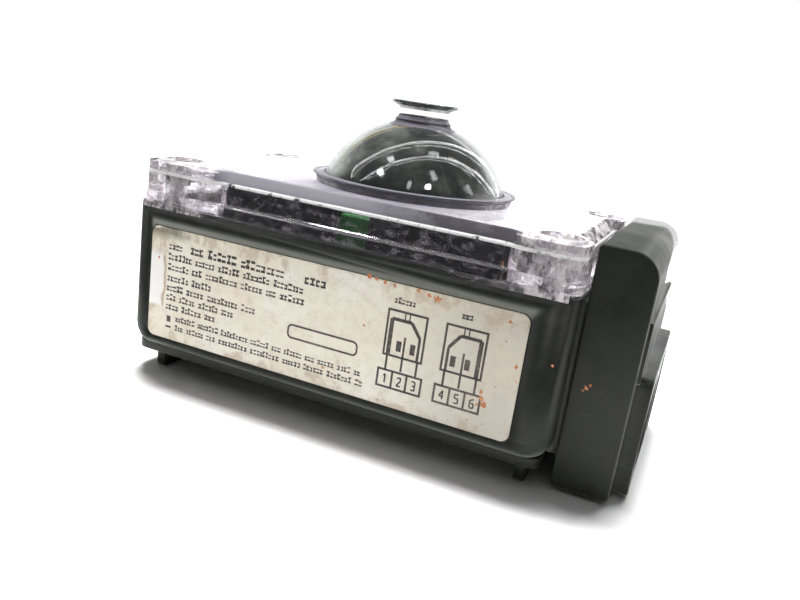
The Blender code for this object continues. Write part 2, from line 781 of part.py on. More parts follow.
def cam_support(angle, first, last):
    """Distance from the axis to the cam's tangent line that faces this angle of the cam.

    first and last are the lever's leans at the two ends of the quarter turn. Over that turn the
    lever leans in proportion to the shaft, so the two can be coupled by one ratio.
    """
    rate = (first - last) / (pi / 2)

    def working(theta):
        return face_distance((first + rate * theta) / (1 + rate)) - GAP

    end = last - pi / 2
    spare = radians(4)
    if end - spare <= angle <= first + spare:
        return working(angle)
    start_value, end_value = working(first + spare), working(end - spare)
    span = tau - (first - end) - 2 * spare
    part = (angle - first - spare) % tau / span
    blend = part * part * (3 - 2 * part)
    return start_value + (end_value - start_value) * blend


def cam(name, finish, bottom, first, last):
    """A disc cam whose outline is the envelope of its support lines."""
    count = 56
    step = tau / count / 10
    points = []
    for i in range(count):
        angle = (tau * i / count + pi) % tau - pi
        reach = cam_support(angle, first, last)
        ahead = cam_support(angle + step, first, last)
        behind = cam_support(angle - step, first, last)
        slope = (ahead - behind) / (2 * step)
        points.append(
            (
                AXIS_X + reach * cos(angle) - slope * sin(angle),
                AXIS_Y + reach * sin(angle) + slope * cos(angle),
            )
        )
    sides = 20
    turns = [tau * i / sides for i in range(sides)]
    bore = [(AXIS_X + BORE_RADIUS * cos(turn), AXIS_Y + BORE_RADIUS * sin(turn)) for turn in turns]
    outline(name, [points, bore], bottom, bottom + CAM_THICKNESS, finish)


def cams():
    cam("cam_bottom", RED, CAM_BOTTOMS["bottom"], LEAN_PRESSED, LEAN_FREE)
    cam("cam_top", CAM_GREEN, CAM_BOTTOMS["top"], LEAN_FREE, LEAN_PRESSED)


def cam_spring():
    turns, radius, wire, per_turn = 2.5, 5.7 * MM, 0.5 * MM, 10
    low = CAM_BOTTOMS["bottom"] + CAM_THICKNESS + GAP + wire
    high = CAM_BOTTOMS["top"] - GAP - wire
    count = round(turns * per_turn)
    route = [
        (
            AXIS_X + radius * cos(tau * i / per_turn),
            AXIS_Y + radius * sin(tau * i / per_turn),
            low + (high - low) * i / count,
        )
        for i in range(count + 1)
    ]
    rod("cam_spring", route, wire, STEEL)


# --- Switches ---


def along_lever(lean, distance, depth):
    """A point on a lever: its distance from the pivot, and its depth behind the face that meets the cam."""
    return (
        PIVOT_X - distance * sin(lean) + depth * cos(lean),
        PIVOT_Y + distance * cos(lean) + depth * sin(lean),
    )


def snap_switch(level, lean):
    low = SWITCH_BOTTOMS[level]
    high = low + SWITCH_THICKNESS
    middle = (low + high) / 2
    body = box(
        "switch_" + level,
        (SWITCH_LEFT, -SWITCH_HALF_LENGTH, low),
        (SWITCH_RIGHT, SWITCH_HALF_LENGTH, high),
        SWITCH_GREY,
        rounding=((2, 0.6 * MM, every),),
    )
    for index, z in enumerate((low, high - 0.7 * MM)):
        lug = box(
            "lug_%s_%d" % (level, index),
            (PIVOT_X - 1.3 * MM, PIVOT_Y - 1 * MM, z),
            (SWITCH_LEFT + 1 * MM, PIVOT_Y + 1.4 * MM, z + 0.7 * MM),
        )
        join(body, lug)
    for index in (-1, 0, 1):
        pin = box(
            "pin_%s_%d" % (level, index),
            (SWITCH_RIGHT - 1 * MM, index * 6 * MM - 1 * MM, middle - 0.3 * MM),
            (SWITCH_RIGHT + 3.6 * MM, index * 6 * MM + 1 * MM, middle + 0.3 * MM),
        )
        join(body, pin)
    below, above = low - WALL, high + WALL
    for index, y in enumerate((-SWITCH_SCREW_Y, SWITCH_SCREW_Y)):
        place = (SWITCH_SCREW_X, y)
        cut(body, cylinder("switch_hole_%s_%d" % (level, index), 1.5 * MM, place, below, above, sides=10))
    place = (PLUNGER_Y, middle)
    front = SWITCH_LEFT - WALL
    cut(body, cylinder("plunger_hole_" + level, 1.35 * MM, place, front, 13.2 * MM, axis="X", sides=10))
    place = (PIVOT_X, PIVOT_Y)
    cut(body, cylinder("pivot_hole_" + level, 0.85 * MM, place, below, above, sides=10))

    face = [
        along_lever(lean, distance, depth)
        for distance, depth in (
            (0, 0),
            (13.6 * MM, 0),
            (14.8 * MM, 0.7 * MM),
            (14.6 * MM, 1.1 * MM),
            (13.4 * MM, 0.4 * MM),
            (0, 0.4 * MM),
        )
    ]
    lever = outline("lever_" + level, [face], low + 1.1 * MM, high - 1.1 * MM, STAINLESS)
    end_gap = 0.1 * MM
    join(lever, cylinder("lever_pin_" + level, 0.55 * MM, place, low + end_gap, high - end_gap, sides=12))

    touch = (PLUNGER_Y - PIVOT_Y) / cos(lean)
    tip = along_lever(lean, touch, 0.4 * MM)[0] + GAP
    place = (PLUNGER_Y, middle)
    cylinder("plunger_" + level, 1.05 * MM, place, tip, tip + 4.6 * MM, PLUNGER_RED, axis="X", sides=12)


def switch_stack():
    snap_switch("bottom", LEAN_PRESSED)
    snap_switch("top", LEAN_FREE)
    spacer = box("switch_spacer", (10.4 * MM, -9.6 * MM, 28 * MM), (18 * MM, 9.6 * MM, 30 * MM), INNER_BLACK)
    head = 37 * MM
    shank = 1.15 * MM
    tip = 18.5 * MM
    profile = [
        (9 * MM, 21 * MM),
        (9 * MM, 19.5 * MM),
        (19.3 * MM, 19.5 * MM),
        (19.3 * MM, 11.1 * MM),
        (29 * MM, 11.1 * MM),
        (29 * MM, 12.6 * MM),
        (20.8 * MM, 12.6 * MM),
        (20.8 * MM, 21 * MM),
    ]
    bracket = outline("switch_bracket", [profile], -10 * MM, 10 * MM, STEEL, plane="XZ")
    for index, (side, y) in enumerate((("front", -SWITCH_SCREW_Y), ("back", SWITCH_SCREW_Y))):
        place = (SWITCH_SCREW_X, y)
        cut(spacer, cylinder("spacer_hole_%d" % index, 1.5 * MM, place, 27 * MM, 31 * MM, sides=10))
        cut(bracket, cylinder("shelf_hole_%d" % index, 1.5 * MM, place, 18 * MM, 22 * MM, sides=10))
        turned(
            "switch_screw_" + side,
            [(0, 38.5 * MM), (2.1 * MM, 38.2 * MM), (2.1 * MM, head), (shank, head), (shank, tip), (0, tip)],
            STEEL,
            centre=place,
            steps=10,
        )
    for index, place in enumerate(floor_screw_places()[2:]):
        cut(bracket, cylinder("foot_hole_%d" % index, 1.6 * MM, place, 10 * MM, 14 * MM, sides=10))
    floor_screws("switch_bracket_screw", floor_screw_places()[2:], 12.9 * MM)


def floor_screws(name, places, head_bottom):
    for side, place in zip(("a", "b"), places):
        turned(
            "%s_%s" % (name, side),
            [
                (0, head_bottom + 1.7 * MM),
                (2.6 * MM, head_bottom + 1 * MM),
                (2.6 * MM, head_bottom),
                (1.2 * MM, head_bottom),
                (1.2 * MM, 9.4 * MM),
                (0, 9.4 * MM),
            ],
            STEEL,
            centre=place,
            steps=10,
        )


# --- Terminals ---


def terminal_carrier():
    """A bridge behind the front wall, with an upstand that leaves a window in front of the terminals."""
    carrier = box(
        "terminal_carrier",
        (CARRIER_LEFT, UPSTAND_FRONT, 38.5 * MM),
        (CARRIER_RIGHT, -16 * MM, CARRIER_TOP),
        INNER_BLACK,
    )
    upstand_back = UPSTAND_FRONT + 1.1 * MM
    for index, (left, right) in enumerate(((-40.9 * MM, -10.2 * MM), (-1.85 * MM, 30.4 * MM))):
        upstand = box("upstand_%d" % index, (left, UPSTAND_FRONT, 39 * MM), (right, upstand_back, 52.8 * MM))
        join(carrier, upstand)
    for index, (left, right, foot) in enumerate(
        (
            (CARRIER_LEFT, CARRIER_LEFT + 4 * MM, (CARRIER_LEFT, -40 * MM)),
            (CARRIER_RIGHT - 4 * MM, CARRIER_RIGHT, (23.5 * MM, CARRIER_RIGHT)),
        )
    ):
        bottom = FLOOR_TOP + GAP
        leg = box("carrier_leg_%d" % index, (left, -29 * MM, bottom), (right, -17 * MM, 39 * MM))
        pad = box("carrier_foot_%d" % index, (foot[0], -28 * MM, bottom), (foot[1], -18 * MM, 13.1 * MM))
        join(carrier, leg, pad)
    for index, place in enumerate(floor_screw_places()[:2]):
        cut(carrier, cylinder("carrier_hole_%d" % index, 1.6 * MM, place, 10 * MM, 15 * MM, sides=10))
    floor_screws("carrier_screw", floor_screw_places()[:2], 13.4 * MM)


def terminal_x(index):
    return TERMINAL_LEFT + TERMINAL_PITCH * (index + 0.5)


def terminal_block():
    low = CARRIER_TOP + GAP
    right = TERMINAL_LEFT + TERMINAL_PITCH * TERMINAL_COUNT
    corner = (TERMINAL_LEFT, TERMINAL_FRONT, low)
    block = box("terminal_block", corner, (right, TERMINAL_BACK, 48.2 * MM), GREEN)
    rib = box("terminal_rib", (TERMINAL_LEFT, TERMINAL_FRONT, 43 * MM), (right, -25.4 * MM, 51.3 * MM))
    join(block, rib)
    for index in range(TERMINAL_COUNT):
        x = terminal_x(index)
        place = (x, TERMINAL_SCREW_Y)
        well = cylinder("terminal_well_%d" % index, 1.9 * MM, place, 46.4 * MM, 49 * MM, sides=10)
        mouth = box(
            "terminal_mouth_%d" % index,
            (x - 1.4 * MM, -23 * MM, 42.6 * MM),
            (x + 1.4 * MM, TERMINAL_BACK + 1 * MM, 45.4 * MM),
        )
        cut(block, well, mouth)
        turned(
            "terminal_screw_%d" % (index + 1),
            [(0, 48 * MM), (1.5 * MM, 47.9 * MM), (1.5 * MM, 46.7 * MM), (0, 46.7 * MM)],
            STEEL,
            centre=place,
            steps=8,
        )


def rounded_route(corners, radius, steps=2):
    """A polyline with each inner corner cut by a short curve."""
    route = [Vector(corners[0])]
    for before, corner, after in zip(corners, corners[1:], corners[2:]):
        before, corner, after = Vector(before), Vector(corner), Vector(after)
        reach = min(radius, (before - corner).length / 2.2, (after - corner).length / 2.2)
        start = corner + (before - corner).normalized() * reach
        end = corner + (after - corner).normalized() * reach
        for i in range(steps + 1):
            part = i / steps
            route.append(start.lerp(corner, part).lerp(corner.lerp(end, part), part))
    route.append(Vector(corners[-1]))
    return route


def lead_wires():
    """Each lead runs from a switch pin out, up and round to its own terminal, nested so that none cross."""
    run_height, entry_height = 43.6 * MM, 44 * MM
    for index in range(TERMINAL_COUNT):
        level = "bottom" if index % 2 == 0 else "top"
        pin_y = (index // 2 - 1) * 6 * MM
        pin_z = SWITCH_BOTTOMS[level] + SWITCH_THICKNESS / 2
        riser_x = (28.2 if level == "bottom" else 25.4) * MM
        run_y = -15.2 * MM + 1.8 * MM * index
        x = terminal_x(TERMINAL_COUNT - 1 - index)
        corners = [
            (SWITCH_RIGHT + 3.6 * MM + GAP, pin_y, pin_z),
            (riser_x, pin_y, pin_z),
            (riser_x, run_y, run_height - 4 * MM),
            (riser_x, run_y, run_height),
            (x, run_y, run_height),
            (x, -18 * MM, entry_height),
            (x, -22 * MM, entry_height),
        ]
        route = rounded_route(corners, 2 * MM)
        rod("lead_wire_%d" % (index + 1), route, 0.62 * MM, WIRE_COLOURS[index])


base_housing()
mounting_bracket()
bracket_screws()
label_plate()
entry_plug()
cover_gasket()
earth_screw()
clear_cover()
cover_screws()
indicator_dome()
dome_rings()
indicator_rotor()
indicator_flag()
drive_shaft()
shaft_fittings()
cams()
cam_spring()
switch_stack()
terminal_carrier()
terminal_block()
lead_wires()
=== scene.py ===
"""Looks of the limit switch box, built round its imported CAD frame."""

import json
import random
from math import acos, cos, pi, radians, sin, sqrt, tau

import bmesh
import bpy
from mathutils import Matrix, Vector

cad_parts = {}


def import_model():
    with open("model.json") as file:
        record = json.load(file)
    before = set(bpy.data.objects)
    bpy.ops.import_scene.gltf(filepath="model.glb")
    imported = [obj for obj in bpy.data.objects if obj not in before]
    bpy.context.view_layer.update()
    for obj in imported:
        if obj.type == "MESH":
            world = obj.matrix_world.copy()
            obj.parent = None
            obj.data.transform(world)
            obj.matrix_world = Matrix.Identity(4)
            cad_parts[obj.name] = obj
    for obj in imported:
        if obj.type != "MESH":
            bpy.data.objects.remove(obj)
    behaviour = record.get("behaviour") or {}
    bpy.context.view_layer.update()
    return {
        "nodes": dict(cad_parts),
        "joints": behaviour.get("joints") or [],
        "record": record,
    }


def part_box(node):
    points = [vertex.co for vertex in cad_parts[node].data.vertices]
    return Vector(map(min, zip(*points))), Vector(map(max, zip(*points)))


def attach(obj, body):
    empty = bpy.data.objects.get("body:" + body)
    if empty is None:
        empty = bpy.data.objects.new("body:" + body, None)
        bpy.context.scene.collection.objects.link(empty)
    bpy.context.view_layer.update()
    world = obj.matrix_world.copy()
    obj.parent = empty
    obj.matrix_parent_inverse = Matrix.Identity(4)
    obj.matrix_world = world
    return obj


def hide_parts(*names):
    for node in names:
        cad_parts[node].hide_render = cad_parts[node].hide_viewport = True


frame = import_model()
MM = 0.001


def mm(*values):
    """Millimetres as a tuple of metres."""
    return tuple(value * MM for value in values)


def middle_of(node):
    low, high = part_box(node)
    return (low + high) / 2


# --- Places read from the frame ---

case_low, case_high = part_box("base_housing")
cover_low, cover_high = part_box("clear_cover")
label_low, label_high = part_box("label_plate")
dome_low, dome_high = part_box("indicator_dome")
shaft_joint = next(joint for joint in frame["joints"] if joint["name"] == "shaft_turn")
AXIS_X, AXIS_Y = shaft_joint["pos_m"][:2]

TUB_LEFT, TUB_RIGHT = case_low.x, cover_high.x + 0.2 * MM
TUB_FRONT, TUB_BACK = case_low.y, case_high.y
TUB_BOTTOM, TUB_TOP = 7.8 * MM, cover_low.z - 0.3 * MM
WALL = 3 * MM
LEFT_BLOCK, RIGHT_BLOCK, END_BLOCK = mm(21.5, 14.0, 12.5)
CORNER = 3.4 * MM


# --- Mesh helpers ---


def add_object(name, bm, smooth_angle=38):
    """Links a bmesh as an object with outward faces and smooth shading below an angle."""
    bmesh.ops.recalc_face_normals(bm, faces=bm.faces)
    mesh = bpy.data.meshes.new(name)
    bm.to_mesh(mesh)
    bm.free()
    obj = bpy.data.objects.new(name, mesh)
    bpy.context.scene.collection.objects.link(obj)
    mesh.shade_smooth()
    mesh.set_sharp_from_angle(angle=radians(smooth_angle))
    return obj


def loop_verts(bm, points):
    return [bm.verts.new(point) for point in points]


def bridge(bm, first, second):
    count = len(first)
    for i in range(count):
        j = (i + 1) % count
        bm.faces.new((first[i], first[j], second[j], second[i]))


def loft(name, sections, smooth_angle=38):
    """Joins loops of equal length, with flat ends."""
    bm = bmesh.new()
    rings = [loop_verts(bm, section) for section in sections]
    for first, second in zip(rings, rings[1:]):
        bridge(bm, first, second)
    bm.faces.new(rings[0][::-1])
    bm.faces.new(rings[-1])
    return add_object(name, bm, smooth_angle)


def rounded_loop(left, low, right, high, radii, steps=8):
    """A rectangle with rounded corners, from the low right corner, counter-clockwise."""
    points = []
    corners = ((right, low, -1, 1), (right, high, -1, -1), (left, high, 1, -1), (left, low, 1, 1))
    starts = (-pi / 2, 0, pi / 2, pi)
    for (x, y, to_x, to_y), start, radius in zip(corners, starts, radii):
        for i in range(steps + 1):
            angle = start + pi / 2 * i / steps
            points.append(
                (x + to_x * radius + radius * cos(angle), y + to_y * radius + radius * sin(angle))
            )
    return points


PLANES = {"X": lambda a, b, c: (c, a, b), "Y": lambda a, b, c: (a, c, b), "Z": lambda a, b, c: (a, b, c)}


def rounding_steps(radius, steps=4):
    """(inset, distance from the end) pairs of a quarter-round edge, from the end inwards."""
    if not radius:
        return [(0, 0)]
    turns = [pi / 2 * i / steps for i in range(steps + 1)]
    return [(radius * (1 - sin(t)), radius * (1 - cos(t))) for t in turns]


def slab(name, low, high, axis="Z", radii=0.0, start=0.0, end=0.0, start_side=None, steps=6):
    """A block along an axis, with rounded edges along it and round its two ends.

    radii is one radius or the four corners' radii. start and end round the edges of the end faces.
    start_side gives the start's rounding on the first two sides of the section on its own.
    """
    order = {"X": (1, 2, 0), "Y": (0, 2, 1), "Z": (0, 1, 2)}[axis]
    left, bottom, near = (low[i] for i in order)
    right, top, far = (high[i] for i in order)
    radii = [radii] * 4 if isinstance(radii, (int, float)) else list(radii)
    start_side = start if start_side is None else start_side
    rises = sorted({rise for radius in (start, start_side) for _, rise in rounding_steps(radius)})
    sections = []
    plan = [(near + rise, round_inset(start_side, rise), round_inset(start, rise)) for rise in rises]
    plan += [(far - rise, inset, inset) for inset, rise in reversed(rounding_steps(end))]
    for height, across, up in plan:
        loop = rounded_loop(
            left + across, bottom + up, right - across, top - up,
            [max(radius - min(across, up), 0.02 * MM) for radius in radii], steps,
        )
        sections.append([PLANES[axis](a, b, height) for a, b in loop])
    return loft(name, sections)


def round_inset(radius, rise):
    """How far a quarter-round edge is inset at this distance from the end face."""
    if rise >= radius:
        return 0.0
    return radius - sqrt(radius**2 - (radius - rise) ** 2)


def disc_points(radius, centre, height, axis="Z", sides=64):
    turns = [tau * i / sides for i in range(sides)]
    return [PLANES[axis](centre[0] + radius * cos(t), centre[1] + radius * sin(t), height) for t in turns]


def round_bar(name, radius, centre, low, high, axis="Z", sides=48, edge=0.0):
    """A cylinder with its two end edges rounded."""
    plan = [(low + rise, inset) for inset, rise in rounding_steps(edge, 3)]
    plan += [(high - rise, inset) for inset, rise in reversed(rounding_steps(edge, 3))]
    return loft(name, [disc_points(radius - inset, centre, height, axis, sides) for height, inset in plan])


def turned(name, profile, centre=(AXIS_X, AXIS_Y), sides=96, smooth_angle=30):
    """Turns (radius, height) points about a vertical axis.

    Both ends lie on the axis, or the profile is a closed loop.
    """
    ring = profile[0][0] > 0 and profile[-1][0] > 0
    bm = bmesh.new()
    rings = []
    for radius, height in profile:
        if radius == 0:
            rings.append([bm.verts.new((centre[0], centre[1], height))])
        else:
            rings.append(loop_verts(bm, disc_points(radius, centre, height, sides=sides)))
    pairs = list(zip(rings, rings[1:])) + ([(rings[-1], rings[0])] if ring else [])
    for first, second in pairs:
        if len(first) == 1 or len(second) == 1:
            tip, edge = (first[0], second) if len(first) == 1 else (second[0], first)
            for i in range(sides):
                bm.faces.new((tip, edge[i], edge[(i + 1) % sides]))
        else:
            bridge(bm, first, second)
    return add_object(name, bm, smooth_angle)


def boolean(target, operation, *others):
    """Applies Booleans with other objects, then removes those objects."""
    for other in others:
        modifier = target.modifiers.new(other.name, "BOOLEAN")
        modifier.operation = operation
        modifier.solver = "EXACT"
        modifier.object = other
    apply_modifiers(target)
    for other in others:
        bpy.data.objects.remove(other)
    return target


def apply_modifiers(obj):
    graph = bpy.context.evaluated_depsgraph_get()
    mesh = bpy.data.meshes.new_from_object(obj.evaluated_get(graph))
    obj.modifiers.clear()
    obj.data = mesh
    return obj


def cut(target, *others):
    return boolean(target, "DIFFERENCE", *others)


def join(target, *others):
    return boolean(target, "UNION", *others)


def soften(obj, width, segments=2, angle=40):
    """Rounds the sharp edges that are left."""
    bevel = obj.modifiers.new("soft_edges", "BEVEL")
    bevel.width = width
    bevel.segments = segments
    bevel.limit_method = "ANGLE"
    bevel.angle_limit = radians(angle)
    bevel.use_clamp_overlap = True
    bevel.harden_normals = False
    apply_modifiers(obj)
    obj.data.shade_smooth()
    obj.data.set_sharp_from_angle(angle=radians(40))
    return obj


def spin_to(obj, x, y, angle):
    """Turns a shape made round the origin, then moves it to its place."""
    obj.data.transform(Matrix.Translation((x, y, 0)) @ Matrix.Rotation(angle, 4, "Z"))
    return obj


def place(obj, body, slot, material, *replaced):
    """Gives a piece its material and its body, and hides the CAD nodes that it stands for."""
    obj.data.materials.clear()
    obj.data.materials.append(material)
    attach(obj, body)
    if replaced:
        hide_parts(*replaced)
    return obj


# --- Materials ---


def scaled(colour, factor, more=0.0):
    return tuple(min(1, part * factor + more) for part in colour)


class Value:
    """A node's output that takes part in sums, differences, products and quotients."""

    def __init__(self, nodes, socket):
        self.nodes, self.socket = nodes, socket

    def __add__(self, other):
        return self.nodes.math("ADD", self, other)

    def __sub__(self, other):
        return self.nodes.math("SUBTRACT", self, other)

    def __mul__(self, other):
        return self.nodes.math("MULTIPLY", self, other)

    def __truediv__(self, other):
        return self.nodes.math("DIVIDE", self, other)

    def __abs__(self):
        return self.nodes.math("ABSOLUTE", self)

    def ramp(self, low, high, to_low=0.0, to_high=1.0, smooth=True):
        """Maps low and high to another range, which it never leaves."""
        numbers = {"Value": self, "From Min": low, "From Max": high, "To Min": to_low, "To Max": to_high}
        kind = "SMOOTHSTEP" if smooth else "LINEAR"
        return self.nodes.made("ShaderNodeMapRange", "Result", numbers, interpolation_type=kind)


class Nodes:
    """Adds nodes to a node tree and links them."""

    def __init__(self, tree):
        self.tree = tree

    def node(self, kind, **settings):
        made = self.tree.nodes.new(kind)
        for key, value in settings.items():
            setattr(made, key, value)
        return made

    def feed(self, socket, value):
        if isinstance(value, Value):
            value = value.socket
        if isinstance(value, bpy.types.NodeSocket):
            self.tree.links.new(value, socket)
        elif socket.type == "RGBA" and len(value) == 3:
            socket.default_value = (*value, 1)
        else:
            socket.default_value = value

    def made(self, kind, output, inputs, **settings):
        """The named output of a new node with these inputs."""
        node = self.node(kind, **settings)
        for key, value in inputs.items():
            self.feed(node.inputs[key], value)
        return Value(self, node.outputs[output])

    def math(self, operation, *values, clamp=False):
        inputs = dict(enumerate(values))
        return self.made("ShaderNodeMath", 0, inputs, operation=operation, use_clamp=clamp)


class Paint(Nodes):
    """A material made one node at a time round a Principled shader."""

    def __init__(self, name, roughness=0.5, metallic=0.0, transmission=0.0):
        self.material = bpy.data.materials.new(name)
        self.material.use_nodes = True
        super().__init__(self.material.node_tree)
        self.shader = self.tree.nodes["Principled BSDF"]
        self.set("Roughness", roughness)
        self.set("Metallic", metallic)
        self.set("Transmission Weight", transmission)
        self.coordinates = self.node("ShaderNodeTexCoord").outputs["Object"]

    def set(self, name, value):
        self.feed(self.shader.inputs[name], value)

    def mapped(self, shift, stretch=(1, 1, 1)):
        places = {"Vector": self.coordinates, "Location": shift, "Scale": stretch}
        return self.made("ShaderNodeMapping", "Vector", places)

    def noise(self, scale, detail=3.0, roughness=0.5, stretch=(1, 1, 1), shift=0.0, distortion=0.0):
        vector = self.mapped((shift, shift * 0.7, shift * 1.3), stretch)
        inputs = {"Vector": vector, "Scale": scale, "Detail": detail, "Roughness": roughness}
        inputs["Distortion"] = distortion
        return self.made("ShaderNodeTexNoise", "Fac", inputs)

    def cells(self, scale, shift=0.0):
        vector = self.mapped((shift, shift, shift))
        return self.made("ShaderNodeTexVoronoi", "Distance", {"Vector": vector, "Scale": scale})

    def mix(self, factor, first, second):
        made = self.node("ShaderNodeMix", data_type="RGBA")
        self.feed(made.inputs["Factor"], factor)
        colours = [socket for socket in made.inputs if socket.type == "RGBA"]
        for socket, value in zip(colours, (first, second)):
            self.feed(socket, value)
        return next(socket for socket in made.outputs if socket.type == "RGBA")

    def bump(self, height, distance, strength=1.0, under=None):
        inputs = {"Height": height, "Distance": distance, "Strength": strength}
        if under is not None:
            inputs["Normal"] = under
        return self.made("ShaderNodeBump", "Normal", inputs)

    def blend(self, factor, first, second):
        """Mixes two shaders."""
        return self.made("ShaderNodeMixShader", 0, {0: factor, 1: first, 2: second})

    def part(self, vector, axis):
        return self.made("ShaderNodeSeparateXYZ", axis, {0: vector})

    def facing(self, axis):
        """How far the surface faces along an axis, from -1 to 1."""
        return self.part(self.node("ShaderNodeNewGeometry").outputs["Normal"], axis)

    def position(self, axis):
        return self.part(self.coordinates, axis)

    def at_edge(self):
        """Rises from 0 facing the viewer to 1 edge-on."""
        return Value(self, self.node("ShaderNodeLayerWeight").outputs["Facing"])

    def edges(self, radius):
        """1 on convex and concave edges within this radius."""
        soft = self.made("ShaderNodeBevel", "Normal", {"Radius": radius}, samples=4)
        plain = self.node("ShaderNodeNewGeometry").outputs["Normal"]
        dot = self.made("ShaderNodeVectorMath", "Value", {0: soft, 1: plain}, operation="DOT_PRODUCT")
        return dot.ramp(0.99, 0.8)

    def finish(self, surface):
        self.feed(self.tree.nodes["Material Output"].inputs["Surface"], surface)
        return self.material


def moulded_plastic(
    name, colour, roughness=0.45, dust=0.25, dust_and_reflection_colour=(0.2, 0.19, 0.165), grain=1.0, wear=0.4, shine=0.4,
):
    """Spark-eroded moulded plastic with a fine grain, rubbed edges, scuffs and dust on top, and a painted
    reflection of the floor on faces that look down.
    """
    paint = Paint(name, roughness)
    paint.set("Specular IOR Level", shine)
    grain_noise = paint.noise(2600, 2, 0.6)
    blotches = paint.noise(75, 4, 0.6, shift=3)
    scuffs = paint.noise(240, 5, 0.7, stretch=(0.35, 1, 2.6), shift=9).ramp(0.6, 0.72)
    worn = paint.edges(0.5 * MM) * paint.noise(160, 4, 0.6, shift=5).ramp(0.35, 0.65)
    up = paint.facing("Z").ramp(0.2, 0.95)
    dust_noise = paint.noise(260, 6, 0.72, shift=1).ramp(0.4, 0.72)
    settled = dust_noise * (up * 0.8 + 0.22)
    dust_mask = paint.math("MULTIPLY", settled, dust, clamp=True)
    base = paint.mix(blotches.ramp(0.3, 0.7), scaled(colour, 0.72), colour)
    base = paint.mix(scuffs * 0.35, base, scaled(colour, 1.9, 0.02))
    base = paint.mix(worn * wear, base, scaled(colour, 3, 0.05))
    # Painted reflection of the floor: faces that look down are lightened towards the dust colour.
    under = paint.facing("Z").ramp(-0.1, -0.6) * 0.8
    base = paint.mix(under, base, dust_and_reflection_colour)
    paint.set("Base Color", paint.mix(dust_mask, base, dust_and_reflection_colour))
    rough = blotches.ramp(0.3, 0.7, roughness - 0.07, roughness + 0.08)
    rough = paint.math("ADD", rough, dust_mask * 0.4, clamp=True)
    paint.set("Roughness", rough - worn * 0.12)
    coarse = paint.bump(paint.noise(420, 3, 0.5, shift=7), 0.04 * MM, 0.35 * grain)
    paint.set("Normal", paint.bump(grain_noise, 0.03 * MM * grain, 0.6, under=coarse))
    glance = paint.made("ShaderNodeBsdfGlossy", 0, {"Roughness": 0.12})
    grazing = paint.at_edge().ramp(0.932, 0.958)
    return paint.finish(paint.blend(grazing, paint.shader.outputs[0], glance))


def label_film():
    """Printed polyester film gone beige, with brown damp stains, orange specks, rubbed places and painted
    shade towards its right end.
    """
    paint = Paint("label_film", 0.42)
    paint.set("Specular IOR Level", 0.45)
    cloud = paint.noise(38, 4, 0.6, shift=2)
    fine = paint.noise(520, 4, 0.65, shift=4)
    base = paint.mix(cloud.ramp(0.3, 0.7), (0.84, 0.77, 0.63), (0.92, 0.88, 0.77))
    base = paint.mix(fine.ramp(0.45, 0.75, 0, 0.35), base, (0.6, 0.49, 0.36))
    width = label_high.x - label_low.x
    across = paint.position("X").ramp(label_low.x, label_high.x, smooth=False)
    up = paint.position("Z").ramp(label_low.z, label_high.z, smooth=False)
    damp = paint.noise(150, 6, 0.7, shift=6, distortion=0.4)
    left = across.ramp(0.1, 0.0)
    top = up.ramp(0.72, 1.0)
    low = up.ramp(0.16, 0.0)
    edge = paint.math("MAXIMUM", paint.math("MAXIMUM", left, top * 0.7), low * 0.75)
    # Painted shade: the film greys towards its right end, in patches.
    painted_shade_right = across.ramp(0.62, 0.95) * cloud.ramp(0.25, 0.6, 0.35, 0.62)
    base = paint.mix(painted_shade_right, base, (0.44, 0.40, 0.33))
    stain = (damp + edge * 0.2).ramp(0.6, 0.76)
    base = paint.mix(stain * 0.5, base, (0.46, 0.33, 0.19))
    ring = abs(damp - 0.585).ramp(0.012, 0.0)
    base = paint.mix(ring * 0.25, base, (0.4, 0.26, 0.15))
    speck = paint.cells(230, shift=width * 3).ramp(0.17, 0.07)
    speck = speck * paint.noise(95, 3, 0.6, shift=12).ramp(0.6, 0.66)
    base = paint.mix(speck * 0.8, base, (0.62, 0.2, 0.07))
    dark = paint.cells(420, shift=0.4).ramp(0.13, 0.05) * cloud.ramp(0.5, 0.62)
    base = paint.mix(dark * 0.55, base, (0.16, 0.11, 0.07))
    height = up.ramp(0.27, 0.31) * up.ramp(0.8, 0.72)
    ragged = across + paint.noise(70, 3, 0.6, shift=14) * 0.05
    peeled = height * ragged.ramp(0.075, 0.066)
    rim = height * abs(ragged - 0.074).ramp(0.006, 0.001)
    base = paint.mix(peeled, base, (0.95, 0.93, 0.89))
    base = paint.mix(rim * 0.7, base, (0.42, 0.27, 0.16))
    corner = up.ramp(0.88, 0.97) * across.ramp(0.14, 0.07)
    moss = corner * damp.ramp(0.42, 0.5)
    base = paint.mix(moss * 0.8, base, (0.13, 0.12, 0.06))
    paint.set("Base Color", base)
    paint.set("Roughness", paint.noise(210, 4, 0.6, shift=8).ramp(0.3, 0.7, 0.3, 0.52))
    wavy = paint.bump(paint.noise(60, 2, 0.5, shift=10), 0.08 * MM, 0.4)
    paint.set("Normal", paint.bump(fine, 0.02 * MM, 0.4, under=wavy))
    return paint.material


def print_ink():
    """Black print, thin and broken where the label is rubbed."""
    paint = Paint("print_ink", 0.5)
    worn = paint.noise(900, 5, 0.75, shift=2).ramp(0.52, 0.72)
    broad = paint.noise(60, 3, 0.6, shift=5).ramp(0.45, 0.7)
    fade = paint.math("ADD", worn * 0.55, broad * 0.25, clamp=True)
    paint.set("Base Color", paint.mix(fade, (0.035, 0.028, 0.022), (0.34, 0.26, 0.19)))
    paint.set("Roughness", worn.ramp(0, 1, 0.4, 0.6))
    return paint.material


def stain_paint():
    """Orange-brown dried splashes."""
    paint = Paint("splash", 0.55)
    patches = paint.noise(700, 4, 0.7).ramp(0.35, 0.65)
    paint.set("Base Color", paint.mix(patches, (0.50, 0.16, 0.06), (0.66, 0.30, 0.13)))
    paint.set("Roughness", paint.noise(500, 3, 0.6, shift=3).ramp(0.3, 0.7, 0.4, 0.7))
    return paint.material


